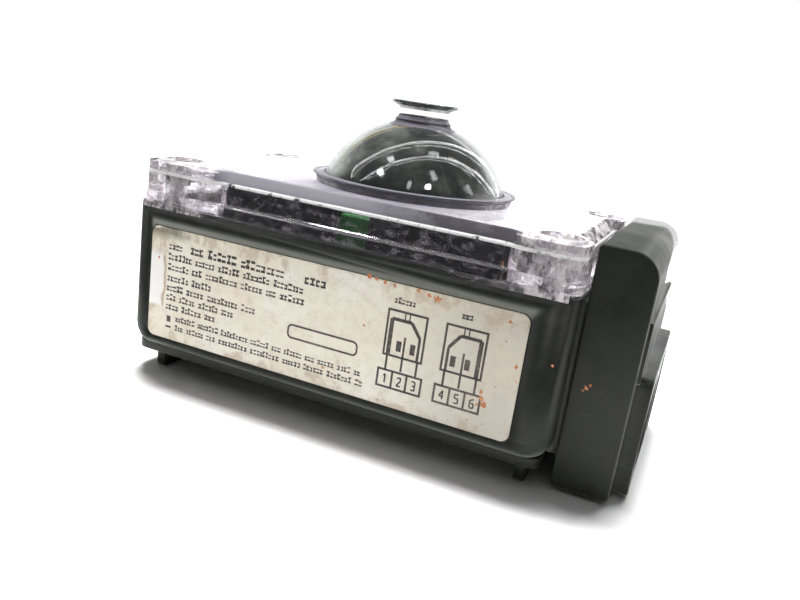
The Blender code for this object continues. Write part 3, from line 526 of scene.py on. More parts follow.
def clear_plastic(name, tint, roughness=0.02, scratched=0.05, films=()):
    """Clear polycarbonate with fine scratches, films of haze, and films of painted shade, highlights and
    reflections. Lamps shine through it.

    Each film is (share, colour, mask), where the mask is a function of the paint. A film of no
    colour lets light straight through.
    """
    paint = Paint(name, roughness, transmission=1.0)
    paint.set("IOR", 1.58)
    cloud = paint.noise(45, 3).ramp(0.3, 0.7)
    paint.set("Base Color", paint.mix(cloud, tint, scaled(tint, 1.04)))
    scratch = paint.noise(130, 6, 0.75, stretch=(0.25, 6, 3), shift=4).ramp(0.6, 0.66)
    other = paint.noise(120, 6, 0.75, stretch=(5, 0.3, 2), shift=8).ramp(0.61, 0.66)
    scratches = paint.math("MAXIMUM", scratch, other)
    rough = paint.noise(90, 4, 0.6, shift=1).ramp(0.35, 0.7, roughness, roughness + scratched)
    paint.set("Roughness", rough + scratches * (scratched * 2))
    paint.set("Normal", paint.bump(paint.noise(60, 3, 0.5, shift=6), 0.06 * MM, scratched * 6))
    rubbed = paint.noise(170, 5, 0.7, shift=2).ramp(0.35, 0.75, 0.55, 1.2)
    surface = paint.shader.outputs[0]
    for share, colour, mask in films:
        kind = "ShaderNodeBsdfDiffuse" if colour else "ShaderNodeBsdfTransparent"
        film = paint.made(kind, 0, {"Color": colour or (1, 1, 1)})
        cover = paint.math("MULTIPLY", mask(paint) * rubbed, share, clamp=True)
        surface = paint.blend(cover, surface, film)
    shadow = paint.node("ShaderNodeLightPath").outputs["Is Shadow Ray"]
    through = paint.made("ShaderNodeBsdfTransparent", 0, {"Color": (0.86, 0.84, 0.88)})
    return paint.finish(paint.blend(shadow, surface, through))


def level(paint):
    """1 on level faces that look up."""
    return paint.facing("Z").ramp(0.86, 0.99)


def at_height(paint, low, high, floor=0.0):
    """Rises with height from low to high, in millimetres."""
    return paint.position("Z").ramp(low * MM, high * MM, floor, 1)


def faces_up(paint):
    """The cover's top, below the dome's seat, and less so its flange."""
    return level(paint) * (at_height(paint, 57.2, 56.8) * at_height(paint, 49, 50, 0.15))


def on_seat(paint):
    """The raised seat under the dome."""
    return at_height(paint, 57.3, 57.5)


def painted_dome_reflection(paint):
    """A painted reflection: a dark film on the part of the cover's top that mirrors the dark dome."""
    near = paint.position("Y").ramp(AXIS_Y - 6 * MM, AXIS_Y - 20 * MM)
    off_axis = abs(paint.position("X") - AXIS_X)
    return level(paint) * at_height(paint, 55, 56) * (near * off_axis.ramp(36 * MM, 8 * MM))


def painted_edge_highlight(paint):
    """A painted highlight: the bright broken line along the lower edge of the sloping band."""
    line = at_height(paint, 52.7, 52.95) * at_height(paint, 53.75, 53.5)
    return line * paint.noise(500, 3, 0.6, shift=15).ramp(0.3, 0.52)


def left_rim(paint):
    """The dark left edge and front left corner of the cover's top."""
    across, back = paint.position("X"), paint.position("Y")
    edge = across.ramp(cover_low.x + 1.0 * MM, cover_low.x + 0.7 * MM)
    left = across.ramp(cover_low.x + 5 * MM, cover_low.x + 3 * MM)
    corner = left * back.ramp(cover_low.y + 4 * MM, cover_low.y + 2.5 * MM)
    top = paint.facing("Z").ramp(0.35, 0.6) * at_height(paint, 55.2, 55.6)
    return top * paint.math("MAXIMUM", edge, corner)


def slopes_right(paint):
    """The sloping band's darker right half."""
    return slopes_up(paint) * paint.position("X").ramp(-15 * MM, 25 * MM)


def in_blocks(paint):
    """Haze in the solid blocks at the cover's ends."""
    across = paint.position("X")
    left = across.ramp(TUB_LEFT + LEFT_BLOCK + 1 * MM, TUB_LEFT + LEFT_BLOCK - 1 * MM)
    right = across.ramp(TUB_RIGHT - RIGHT_BLOCK - 1 * MM, TUB_RIGHT - RIGHT_BLOCK)
    cloudy = paint.noise(210, 5, 0.7, stretch=(1.6, 1, 0.8), shift=11).ramp(0.44, 0.6, 0.06, 1)
    return cloudy * (left * 0.75 + right)


def specks(paint):
    """Lint and smears on the cover's walls."""
    wall = abs(paint.facing("Z")).ramp(0.35, 0.1)
    return wall * paint.noise(360, 5, 0.65, stretch=(1, 1, 1.4), shift=13).ramp(0.5, 0.66)


def slopes_up(paint):
    """The sloping band round the cover's top, and not the top itself."""
    flat = paint.facing("Z").ramp(0.86, 0.99, 1, 0)
    slope = paint.facing("Z").ramp(0.2, 0.6) * flat
    return slope * at_height(paint, 53.2, 53.6)


def everywhere(paint):
    """Patchy haze all over."""
    return paint.noise(130, 6, 0.75, shift=5).ramp(0.42, 0.7, 0.15, 1)


def haze_and_edge_sheen(paint):
    """Haze and a painted reflection of the room, strongest where the shell curves away."""
    return paint.at_edge().ramp(0.45, 0.98)


def paler_left(paint):
    """The dome's left side, in patches."""
    side = paint.position("X").ramp(AXIS_X - 4 * MM, AXIS_X - 24 * MM)
    return side * everywhere(paint)


def on_flange(paint):
    """Dirt round the dome's flange."""
    return paint.position("Z").ramp(dome_low.z + 3.2 * MM, dome_low.z + 2.6 * MM)


def between(paint, low, high):
    """1 between two depths below the top of the boss."""
    height, fade = paint.position("Z"), 0.3 * MM
    above = height.ramp(dome_high.z - low - fade, dome_high.z - low)
    return above * height.ramp(dome_high.z - high + fade, dome_high.z - high)


def on_neck(paint):
    """The frosted side of the boss on top of the dome."""
    return between(paint, 3.4 * MM, 1.4 * MM)


def round_neck(paint):
    """A grey band round the foot of the boss."""
    return between(paint, 5.9 * MM, 3.6 * MM)


def shade_under_rim(paint):
    """Painted shade on the faces that look down under the rim of the boss."""
    down = paint.facing("Z").ramp(-0.15, -0.4)
    return down * paint.position("Z").ramp(dome_high.z - 2.6 * MM, dome_high.z - 2.2 * MM)


def gloss_plastic(name, colour, roughness=0.12):
    """Polished plastic with faint swirls and lint."""
    paint = Paint(name, roughness)
    mottled = paint.noise(80, 3, 0.6)
    lint = paint.noise(700, 5, 0.75, shift=3).ramp(0.64, 0.72)
    base = paint.mix(mottled.ramp(0.3, 0.7), scaled(colour, 0.8), colour)
    paint.set("Base Color", paint.mix(lint * 0.25, base, (0.3, 0.3, 0.28)))
    paint.set(
        "Roughness", paint.noise(150, 5, 0.65, shift=5).ramp(0.3, 0.7, roughness * 0.7, roughness * 1.6),
    )
    paint.set("Normal", paint.bump(paint.noise(300, 2, 0.5, shift=7), 0.01 * MM, 0.4))
    return paint.material


def metal(name, colour, roughness=0.3, turned_marks=True, patina=(0.35, 0.3, 0.22)):
    """Machined or plated metal with tool marks, stains and brighter edges."""
    paint = Paint(name, roughness, metallic=0.8)
    cloud = paint.noise(320, 5, 0.65, shift=2)
    stained = cloud.ramp(0.52, 0.75)
    edge = paint.edges(0.25 * MM)
    base = paint.mix(stained * 0.55, colour, patina)
    paint.set("Base Color", paint.mix(edge * 0.5, base, scaled(colour, 1.25)))
    paint.set("Roughness", cloud.ramp(0.3, 0.75, roughness - 0.06, roughness + 0.18))
    stretch = (1, 1, 14) if turned_marks else (10, 1, 1)
    paint.set("Normal", paint.bump(paint.noise(900, 2, 0.5, stretch=stretch, shift=4), 0.008 * MM, 0.5))
    return paint.material


def rubber():
    """Black rubber with a pale bloom."""
    paint = Paint("seal_rubber", 0.75)
    bloom = paint.noise(600, 5, 0.7).ramp(0.45, 0.75)
    paint.set("Base Color", paint.mix(bloom, (0.012, 0.012, 0.012), (0.05, 0.05, 0.048)))
    paint.set("Roughness", bloom.ramp(0, 1, 0.62, 0.85))
    paint.set("Normal", paint.bump(paint.noise(1500, 3, 0.6, shift=2), 0.02 * MM, 0.5))
    return paint.material


BLACK = moulded_plastic(
    "black_plastic", (0.026, 0.0285, 0.023), 0.42, dust=0.14, dust_and_reflection_colour=(0.17, 0.175, 0.15), grain=0.35,
    shine=0.22,
)
INNER_BLACK = moulded_plastic(
    "inner_plastic", (0.010, 0.0115, 0.0105), 0.35, dust=0.10, dust_and_reflection_colour=(0.2, 0.21, 0.19), grain=0.35,
    shine=0.3,
)
SWITCH_GREY = moulded_plastic("switch_case", (0.03, 0.03, 0.033), 0.38, dust=0.2)
GREEN = moulded_plastic(
    "terminal_green", (0.035, 0.19, 0.045), 0.5, dust=0.12, dust_and_reflection_colour=(0.2, 0.25, 0.18), shine=0.2,
)
YELLOW = moulded_plastic("flag_yellow", (0.85, 0.55, 0.04), 0.35, dust=0.1)
CAM_RED = moulded_plastic("cam_red", (0.55, 0.04, 0.03), 0.38, dust=0.15)
CAM_GREEN = moulded_plastic("cam_green", (0.03, 0.30, 0.10), 0.38, dust=0.15)
PLUNGER_RED = moulded_plastic("plunger_red", (0.6, 0.07, 0.04), 0.35, dust=0.1)
CLEAR = clear_plastic(
    "clear_polycarbonate", (0.90, 0.885, 0.925),
    films=(
        (0.30, (0.86, 0.84, 0.88), faces_up),
        # A painted reflection of the dark dome on the cover's top
        (1.0, (0.15, 0.148, 0.168), painted_dome_reflection),
        (2.2, (0.21, 0.207, 0.235), slopes_up),
        (1.5, (0.06, 0.056, 0.065), slopes_right),
        (0.88, (0.80, 0.745, 0.755), in_blocks),
        (0.5, (0.40, 0.38, 0.40), specks),
        (0.6, (0.12, 0.118, 0.14), on_seat),
        (1.6, (0.03, 0.032, 0.03), left_rim),
        # A painted highlight along the lower edge of the sloping band
        (1.8, (0.96, 0.95, 0.95), painted_edge_highlight),
        (0.02, (0.8, 0.79, 0.8), everywhere),
    ),
)
DOME_CLEAR = clear_plastic(
    "dome_polycarbonate", (0.95, 0.955, 0.96), roughness=0.0, scratched=0.01,
    films=(
        (0.13, (0.62, 0.68, 0.62), everywhere),
        # Haze and a painted reflection of the room, where the shell turns edge-on
        (0.24, (0.26, 0.29, 0.27), haze_and_edge_sheen),
        (1.2, (0.5, 0.56, 0.52), paler_left),
        (1.1, (0.07, 0.07, 0.08), on_flange),
        (1.8, None, on_neck),
        (1.2, (0.17, 0.17, 0.185), round_neck),
        # Painted shade under the rim of the boss
        (0.8, (0.05, 0.05, 0.055), shade_under_rim),
    ),
)
ROTOR = gloss_plastic("rotor_black", (0.006, 0.0065, 0.006), 0.05)
ZINC = metal("zinc_steel", (0.72, 0.71, 0.69), 0.3)
STAINLESS = metal("stainless_steel", (0.58, 0.57, 0.56), 0.25, turned_marks=False)
BRASS = metal("brass", (0.78, 0.58, 0.26), 0.28, patina=(0.3, 0.18, 0.07))
RUBBER = rubber()
LABEL = label_film()
INK = print_ink()
SPLASH = stain_paint()


# --- Base housing ---

CAVITY_RADIUS = 3 * MM
FLOOR_TOP = TUB_BOTTOM + WALL
SCREW_NAMES = ("front_left", "back_left", "front_right", "back_right")
SCREW_PLACES = [middle_of("cover_screw_" + name) for name in SCREW_NAMES]
END_LEFT = 49.15 * MM
END_RIGHT = 62.15 * MM
END_FRONT = -28 * MM
END_BOTTOM, END_TOP = case_low.z, case_high.z
PAD_FRONT, PAD_BACK, PAD_TOP = mm(-22, 29, 28.7)
plug_low, plug_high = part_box("entry_plug")
PLUG_Y, ENTRY_Z = middle_of("entry_plug").yz
OPEN_Y = -9.5 * MM
ENTRY_RADIUS, ENTRY_SEAT_RADIUS = mm(10, 11.5)
ENTRY_START, ENTRY_SEAT_START, PASSAGE_END = mm(52.65, 62.6, 53.65)
SKIRT_DEPTH = 1.1 * MM
SKIRT_ENDS = ((TUB_LEFT - WALL, -41.2 * MM), (19.6 * MM, TUB_RIGHT + WALL))


def tub_shell():
    """The open tub with its screw posts, bosses and ribs."""
    tub = slab(
        "housing_shell", (TUB_LEFT, TUB_FRONT, TUB_BOTTOM), (TUB_RIGHT, TUB_BACK, TUB_TOP), radii=CORNER,
        start=1.5 * MM, start_side=5 * MM, end=0.25 * MM, steps=8,
    )
    cavity = slab(
        "cavity", (TUB_LEFT + WALL, TUB_FRONT + WALL, FLOOR_TOP),
        (TUB_RIGHT - WALL, TUB_BACK - WALL, TUB_TOP + WALL), radii=CAVITY_RADIUS, start=1 * MM,
    )
    cut(tub, cavity)
    posts = [
        round_bar("post_%d" % i, 5.6 * MM, spot.xy, FLOOR_TOP - 1 * MM, TUB_TOP - 0.02 * MM, sides=40)
        for i, spot in enumerate(SCREW_PLACES)
    ]
    bosses = [round_bar("shaft_boss", 9.5 * MM, (AXIS_X, AXIS_Y), FLOOR_TOP - 1 * MM, 18 * MM, sides=64)]
    ribs = []
    for i in range(8):
        angle = tau * i / 8 + pi / 8
        rib = slab("rib_%d" % i, (8.5 * MM, -0.6 * MM, FLOOR_TOP - 1 * MM), mm(15, 0.6, 14), radii=0.2 * MM)
        ribs.append(spin_to(rib, AXIS_X, AXIS_Y, angle))
    for name in SCREW_NAMES:
        spot = middle_of("bracket_screw_" + name)
        bosses.append(round_bar("boss_" + name, 4 * MM, spot.xy, FLOOR_TOP - 1 * MM, 17 * MM, sides=32))
    earth = middle_of("earth_screw")
    bosses.append(round_bar("earth_boss", 4 * MM, earth.xy, FLOOR_TOP - 1 * MM, 15 * MM, sides=32))
    join(tub, *posts, *bosses, *ribs)
    return tub


def end_block():
    """The wall past the tub's end that carries the two cable entries on a raised pad."""
    block = slab(
        "end_block", (END_LEFT, END_FRONT, END_BOTTOM), (END_RIGHT, TUB_BACK, END_TOP), axis="Y",
        radii=mm(1.0, 6, 1.0, 1.0), start=0.5 * MM, end=0.5 * MM, steps=10,
    )
    neck = slab(
        "neck", (TUB_RIGHT - WALL / 2, END_FRONT + 0.2 * MM, TUB_BOTTOM + 0.5 * MM),
        (END_LEFT + WALL, TUB_BACK - 4 * MM, TUB_TOP - 1 * MM), axis="X", radii=1 * MM,
    )
    step = slab(
        "step", (END_RIGHT - WALL, PAD_FRONT - 2 * MM, PAD_TOP - 1 * MM),
        (END_RIGHT + 0.75 * MM, PAD_BACK, 41.5 * MM), axis="X", radii=0.5 * MM, end=0.2 * MM,
    )
    pad = slab(
        "pad", (END_RIGHT - WALL, PAD_FRONT, END_BOTTOM), (case_high.x, PAD_BACK, PAD_TOP), axis="X",
        radii=mm(0.8, 2, 2, 0.8), end=0.5 * MM,
    )
    join(block, neck, step, pad)
    return block


def housing():
    """The base: tub and end block, with its bores, entries, label recess and gasket groove."""
    shell = tub_shell()
    join(shell, end_block())
    cutters = [round_bar("shaft_hole", 6.2 * MM, (AXIS_X, AXIS_Y), TUB_BOTTOM - WALL, 20 * MM)]
    for i, spot in enumerate(SCREW_PLACES):
        cutters.append(round_bar("screw_bore_%d" % i, 2.7 * MM, spot.xy, 31 * MM, TUB_TOP + WALL, sides=32))
    for name in SCREW_NAMES:
        spot = middle_of("bracket_screw_" + name)
        cutters.append(round_bar("bore_" + name, 2 * MM, spot.xy, TUB_BOTTOM - WALL, 15.5 * MM, sides=24))
    bores = (("entry_%d", ENTRY_RADIUS, ENTRY_START), ("seat_%d", ENTRY_SEAT_RADIUS, ENTRY_SEAT_START))
    far = case_high.x + WALL
    for i, y in enumerate((OPEN_Y, PLUG_Y)):
        for name, radius, start in bores:
            cutters.append(round_bar(name % i, radius, (y, ENTRY_Z), start, far, axis="X", sides=72))
        low, high = (TUB_RIGHT - WALL - 1 * MM, y - 7.5 * MM, 12 * MM), (PASSAGE_END, y + 7.5 * MM, 22 * MM)
        cutters.append(slab("passage_%d" % i, low, high, axis="X", radii=2 * MM))
    cutters.append(label_block("label_recess", 0, TUB_FRONT - WALL, TUB_FRONT + 0.6 * MM))
    grooves, middle = [], WALL / 2
    rows = (
        ("outer", middle - 0.85 * MM, 1.6 * MM, WALL, 3 * MM),
        ("inner", middle + 0.85 * MM, 2 * MM, 2 * WALL, 1.6 * MM),
    )
    for name, inset, depth, rise, radius in rows:
        low = (TUB_LEFT + inset, TUB_FRONT + inset, TUB_TOP - depth)
        high = (TUB_RIGHT - inset, TUB_BACK - inset, TUB_TOP + rise)
        grooves.append(slab("groove_" + name, low, high, radii=radius))
    cut(*grooves)
    cutters.append(grooves[0])
    sides = ((TUB_FRONT - WALL, TUB_FRONT + 0.62 * MM), (TUB_BACK - 0.62 * MM, TUB_BACK + WALL))
    for i, (left, right) in enumerate(SKIRT_ENDS):
        for j, (front, back) in enumerate(sides):
            low, high = (left, front, TUB_TOP - SKIRT_DEPTH), (right, back, TUB_TOP + WALL)
            cutters.append(slab("skirt_%d_%d" % (i, j), low, high, axis="Y"))
    cut(shell, *cutters)
    return place(shell, "case", "black_plastic", BLACK, "base_housing")


def label_block(name, inset, front, back):
    """The label's outline as a block: the sheet itself, or with no inset the recess it sits in."""
    return slab(
        name, (label_low.x - 0.25 * MM + inset, front, label_low.z - 0.25 * MM + inset),
        (label_high.x + 0.25 * MM - inset, back, label_high.z + 0.25 * MM - inset), axis="Y", radii=2 * MM,
    )


def entry_thread():
    """A helical ridge inside the open entry."""
    pitch, turns, per_turn = 1.5 * MM, 5.5, 64
    count = round(turns * per_turn)
    start, root = 54 * MM, ENTRY_RADIUS + 0.15 * MM
    sections = []
    for i in range(count + 1):
        angle = tau * i / per_turn
        along = start + pitch * i / per_turn
        fade = min(1, i / 16, (count - i) / 16)
        tip = ENTRY_RADIUS - (0.1 + 0.75 * fade) * MM
        ridge = ((root, -0.7 * MM), (tip, -0.12 * MM), (tip, 0.12 * MM), (root, 0.7 * MM))
        sections.append([(along + x, OPEN_Y + r * cos(angle), ENTRY_Z + r * sin(angle)) for r, x in ridge])
    return place(loft("entry_thread", sections, smooth_angle=50), "case", "black_plastic", BLACK)


def entry_plug():
    """A blanking plug with a six-sided socket."""
    middle = (PLUG_Y, ENTRY_Z)
    plug = round_bar(
        "entry_plug_moulded", 9.6 * MM, middle, plug_low.x, 64 * MM, axis="X", edge=0.6 * MM, sides=72,
    )
    head = round_bar(
        "plug_head", 11.1 * MM, middle, 62.9 * MM, plug_high.x, axis="X", edge=0.35 * MM, sides=72,
    )
    join(plug, head)
    socket = round_bar("plug_socket", 5.8 * MM, middle, 59 * MM, 67 * MM, axis="X", sides=6)
    dish = round_bar("plug_dish", 8.2 * MM, middle, 64.9 * MM, 67 * MM, axis="X", sides=72)
    cut(plug, socket, dish)
    return place(plug, "case", "black_plastic", BLACK, "entry_plug")


# --- Label ---

PRINT_BACK = label_low.y - 0.005 * MM
PRINT_FRONT = PRINT_BACK - 0.03 * MM


def box_into(bm, left, low, right, high, front=PRINT_FRONT, back=PRINT_BACK):
    """A printed upright rectangle on the label."""
    made = bmesh.ops.create_cube(bm, size=1.0)["verts"]
    for vertex in made:
        x, y, z = vertex.co + Vector((0.5, 0.5, 0.5))
        vertex.co = (left + (right - left) * x, front + (back - front) * y, low + (high - low) * z)


def stroke(bm, start, end, width):
    """A straight printed line between two points on the label."""
    start, end = Vector(start), Vector(end)
    along = (end - start).normalized()
    side = Vector((-along.y, along.x)) * width / 2
    corners = [start - side, end - side, end + side, start + side]
    near = [bm.verts.new((c.x, PRINT_FRONT, c.y)) for c in corners]
    far = [bm.verts.new((c.x, PRINT_BACK, c.y)) for c in corners]
    bm.faces.new(near)
    bm.faces.new(far[::-1])
    bridge(bm, near[::-1], far[::-1])


def frame_strokes(bm, left, low, right, high, width):
    for z in (low, high):
        stroke(bm, (left - width / 2, z), (right + width / 2, z), width)
    for x in (left, right):
        stroke(bm, (x, low + width / 2), (x, high - width / 2), width)


def rounded_frame(bm, low, high, radius, width):
    """A printed outline with round corners."""
    corners = ((high[0], high[1], 0), (low[0], high[1], 1), (low[0], low[1], 2), (high[0], low[1], 3))
    rings = []
    inner = radius - width
    for reach, y in (
        (radius, PRINT_BACK), (radius, PRINT_FRONT), (inner, PRINT_FRONT), (inner, PRINT_BACK),
    ):
        ring = []
        for x, z, quarter in corners:
            x += radius if x == low[0] else -radius
            z += radius if z == low[1] else -radius
            for i in range(6):
                angle = (quarter + i / 5) * pi / 2
                ring.append(bm.verts.new((x + reach * cos(angle), y, z + reach * sin(angle))))
        rings.append(ring)
    for first, second in zip(rings, rings[1:] + rings[:1]):
        bridge(bm, first, second)


def greeked_line(bm, left, low, right, height, seed):
    """Stands for a line of small print: word-long groups of short marks that spell nothing."""
    draw = random.Random(seed)
    x = left
    while x < right - height:
        letters = draw.choice((3, 4, 5, 6, 7, 9))
        for _ in range(letters):
            cell = height * draw.uniform(0.5, 0.72)
            if x + cell > right:
                break
            top = low + height * draw.choice((0.72, 0.72, 0.8, 1.0))
            bar = cell * draw.uniform(0.68, 0.92)
            foot = low + (top - low) * draw.uniform(0.26, 0.4)
            head = top - (top - low) * draw.uniform(0.22, 0.34)
            box_into(bm, x, low, x + bar, foot)
            box_into(bm, x, head, x + bar, top)
            if draw.random() < 0.65:
                stem = x + bar * draw.uniform(0.05, 0.6)
                box_into(bm, stem, foot, stem + bar * 0.38, head)
            x += cell
        x += height * 0.55


DIGITS = {
    "1": (((0.25, 0.8), (0.55, 1), (0.55, 0)),),
    "2": (((0.1, 0.9), (0.8, 1), (0.8, 0.6), (0.1, 0), (0.9, 0)),),
    "3": (((0.1, 1), (0.8, 1), (0.8, 0)), ((0.3, 0.5), (0.8, 0.5)), ((0.1, 0), (0.8, 0))),
    "4": (((0.7, 0), (0.7, 1), (0.1, 0.35), (0.95, 0.35)),),
    "5": (((0.85, 1), (0.15, 1), (0.15, 0.55), (0.8, 0.55), (0.8, 0), (0.1, 0)),),
    "6": (((0.8, 1), (0.15, 0.8), (0.15, 0), (0.85, 0), (0.85, 0.5), (0.15, 0.5)),),
}


def digit(bm, character, left, low, height):
    """A terminal's number in straight strokes."""
    for chain in DIGITS[character]:
        points = [(left + x * height * 0.6, low + z * height) for x, z in chain]
        for start, end in zip(points, points[1:]):
            stroke(bm, start, end, 0.38 * MM)


def switch_diagram(bm, left, numbers, side):
    """A change-over contact in its case, with leads down to three numbered terminals."""
    width, low, high = mm(9.4, 22.9, 33.6)
    right = left + width
    line = 0.52 * MM
    frame_strokes(bm, left, low, right, high, line)
    middle = (left + right) / 2
    straight, slant_foot = (left + 1.1 * MM, right - 1.1 * MM)[::side]
    top = high - 2.0 * MM
    thick = 0.78 * MM
    stroke(bm, (straight, low), (straight, top), thick * 1.3)
    stroke(bm, (straight, top), (middle + side * 1.2 * MM, top), thick)
    stroke(bm, (middle + side * 1.2 * MM, top), (slant_foot, high - 5.2 * MM), thick)
    stroke(bm, (slant_foot, high - 5.2 * MM), (slant_foot, low), thick * 0.8)
    for x in (middle - 0.55 * MM, middle + 0.55 * MM):
        stroke(bm, (x, high - 0.2 * MM), (x, top), 0.3 * MM)
    for shift in (-1.2, 2.2):
        x = middle + shift * side * MM
        box_into(bm, x - 0.62 * MM, low + 1.3 * MM, x + 0.62 * MM, low + 3.8 * MM)
    stroke(bm, (middle + 0.1 * MM, low - 3.3 * MM), (middle + 0.1 * MM, low + 5 * MM), 0.5 * MM)
    cell = 3.6 * MM
    row_left = middle - 1.5 * cell
    row_low, row_high = mm(15.1, 19.2)
    frame_strokes(bm, row_left, row_low, row_left + 3 * cell, row_high, line)
    for index, character in enumerate(numbers):
        x = row_left + index * cell
        if index:
            stroke(bm, (x, row_low), (x, row_high), line)
        digit(bm, character, x + 1.2 * MM, row_low + 0.95 * MM, 2.1 * MM)
    for x in (middle - 3.7 * MM, middle + 3.8 * MM):
        stroke(bm, (x, row_high), (x, low), line)


# Left end, foot, right end and height of each line of print in millimetres, and its seed
PRINTED_LINES = (
    (-54.6, 34.4, -49.3, 1.7, 1), (-47.9, 34.3, -17.6, 2.3, 2), (-14.8, 34.3, -8.4, 2.3, 3),
    (-54.6, 31.7, -13.7, 1.75, 10), (-54.6, 29.0, -12.1, 1.75, 11), (-54.6, 26.1, -39.8, 1.75, 12),
    (-54.6, 23.5, -25.6, 1.75, 13), (-54.6, 21.0, -31.8, 1.75, 14), (-54.6, 18.5, -38.7, 1.75, 15),
    (-51.3, 15.7, 3.3, 1.5, 30), (-51.3, 13.3, 3.8, 1.5, 31), (8.5, 35.3, 14.9, 1.5, 40),
    (24.6, 35.5, 28.0, 1.5, 41),
)


def label():
    """The label sheet, and its print as thin raised shapes."""
    plate = label_block("label_sheet", 0.25 * MM, label_low.y, label_high.y)
    place(plate, "case", "label_film", LABEL, "label_plate")
    bm = bmesh.new()
    for left, low, right, height, seed in PRINTED_LINES:
        greeked_line(bm, *mm(left, low, right, height), seed)
    box_into(bm, *mm(-54.4, 13.6, -52.7, 14.1))
    box_into(bm, *mm(-54.1, 15.2, -52.9, 16.8))
    rounded_frame(bm, mm(-18.1, 20.1), mm(1.0, 23.8), 1.3 * MM, 0.48 * MM)
    switch_diagram(bm, 7.5 * MM, "123", 1)
    switch_diagram(bm, 21.6 * MM, "456", -1)
    place(add_object("label_print", bm), "case", "label_film", INK)


def splash(bm, x, z, radius, seed, y):
    """One flat dried drop with an uneven outline."""
    draw = random.Random(seed)
    waves = [(draw.uniform(0.08, 0.2), draw.randint(2, 5), draw.uniform(0, tau)) for _ in range(3)]
    near, far = [], []
    for i in range(20):
        angle = tau * i / 20
        reach = radius * (1 + sum(size * sin(count * angle + phase) for size, count, phase in waves))
        right, up = reach * cos(angle), reach * sin(angle)
        near.append(bm.verts.new((x + right * 0.9, y - 0.03 * MM, z + up * 0.9)))
        far.append(bm.verts.new((x + right, y, z + up)))
    bm.faces.new(near)
    bm.faces.new(far[::-1])
    bridge(bm, near[::-1], far[::-1])


# Across, height and radius of each dried splash, in millimetres
SPLASHES = (
    (1.6, 39.9, 0.6), (3.4, 39.7, 0.5), (5.6, 39.4, 0.5), (8.0, 39.1, 0.4), (13.8, 39.3, 0.5),
    (16.4, 38.8, 0.5), (18.4, 38.4, 0.75), (35.2, 37.4, 0.4), (38.2, 28.0, 0.42), (31.6, 20.4, 0.45),
    (31.9, 18.9, 0.6), (32.6, 17.6, 0.7), (31.2, 17.2, 0.35), (1.8, 28.2, 0.28), (-7.4, 15.2, 0.35),
    (2.6, 14.6, 0.22), (35.1, 33.0, 0.2), (34.6, 22.4, 0.2), (52.6, 25.5, 0.45), (53.3, 26.3, 0.3),
    (52.0, 24.8, 0.25), (-57.6, 31.6, 0.3), (29.6, 13.2, 0.18), (45.6, 30.4, 0.3),
)


def splashes():
    """Dried drops on the label and the front."""
    bm = bmesh.new()
    for index, (x, z, radius) in enumerate(SPLASHES):
        on_label = label_low.x < x * MM < label_high.x and label_low.z < z * MM < label_high.z
        face = label_low.y if on_label else END_FRONT if x * MM > TUB_RIGHT else TUB_FRONT
        splash(bm, x * MM, z * MM, radius * MM, 100 + index, face - 0.01 * MM)
    place(add_object("dried_splashes", bm), "case", "label_film", SPLASH)


# --- Clear cover ---

FLANGE_TOP = 48.1 * MM
COVER_TOP = 56.2 * MM
SEAT_TOP = cover_high.z


def smoothstep(low, high, value):
    part = min(1, max(0, (value - low) / (high - low)))
    return part * part * (3 - 2 * part)


def cover_loop(z, inset, dip, corner_inset):
    """The cover's outline at one height. Between its corner blocks each side dips inwards."""
    radius, per_side, steps = 5 * MM, 64, 10
    r = radius - corner_inset
    arcs = []
    for right, high, start in ((1, -1, -pi / 2), (1, 1, 0), (-1, 1, pi / 2), (-1, -1, pi)):
        x = (cover_high.x if right > 0 else cover_low.x) - right * radius
        y = (cover_high.y if high > 0 else cover_low.y) - high * radius
        turns = [start + pi / 2 * i / steps for i in range(steps + 1)]
        arcs.append([Vector((x + r * cos(turn), y + r * sin(turn))) for turn in turns])
    ends = (END_BLOCK, END_BLOCK)
    blocks = (ends, (RIGHT_BLOCK, LEFT_BLOCK), ends, (LEFT_BLOCK, RIGHT_BLOCK))
    loop = []
    for index, (first, last) in enumerate(blocks):
        loop += arcs[index]
        start = arcs[index][-1]
        along = arcs[(index + 1) % 4][0] - start
        length = along.length
        inwards = Vector((-along.y, along.x)) / length
        sway = 3.2 * MM if first != last else 2.5 * MM
        for i in range(1, per_side):
            t = length * i / per_side
            near = smoothstep(first, first + sway, t + radius)
            far = smoothstep(last, last + sway, length - t + radius)
            depth = min(near, far) * (dip + inset - corner_inset)
            loop.append(start + along * (t / length) + inwards * depth)
    return [(x, y, z) for x, y in loop]


FOOT, FLANGE = cover_low.z / MM, FLANGE_TOP / MM
# Height, inset, dip between the corner blocks and inset of the corners, in millimetres
COVER_ROWS = (
    (FOOT, 0.15, 0, 0.15), (FOOT + 0.2, 0, 0, 0), (FLANGE - 0.5, 0, 0, 0),
    (FLANGE - 0.15, 0.12, 0.05, 0.12), (FLANGE, 0.4, 0.3, 0.2), (FLANGE + 0.15, 0.5, 0.9, 0.25),
    (FLANGE + 0.5, 0.5, 1.15, 0.3), (53.0, 0.6, 1.15, 0.4), (53.5, 0.8, 1.15, 0.45), (54.4, 1.7, 1.15, 0.6),
    (55.7, 3.0, 1.15, 1.3), (56.05, 3.5, 1.15, 1.9), (COVER_TOP / MM, 4.1, 1.15, 2.7),
)


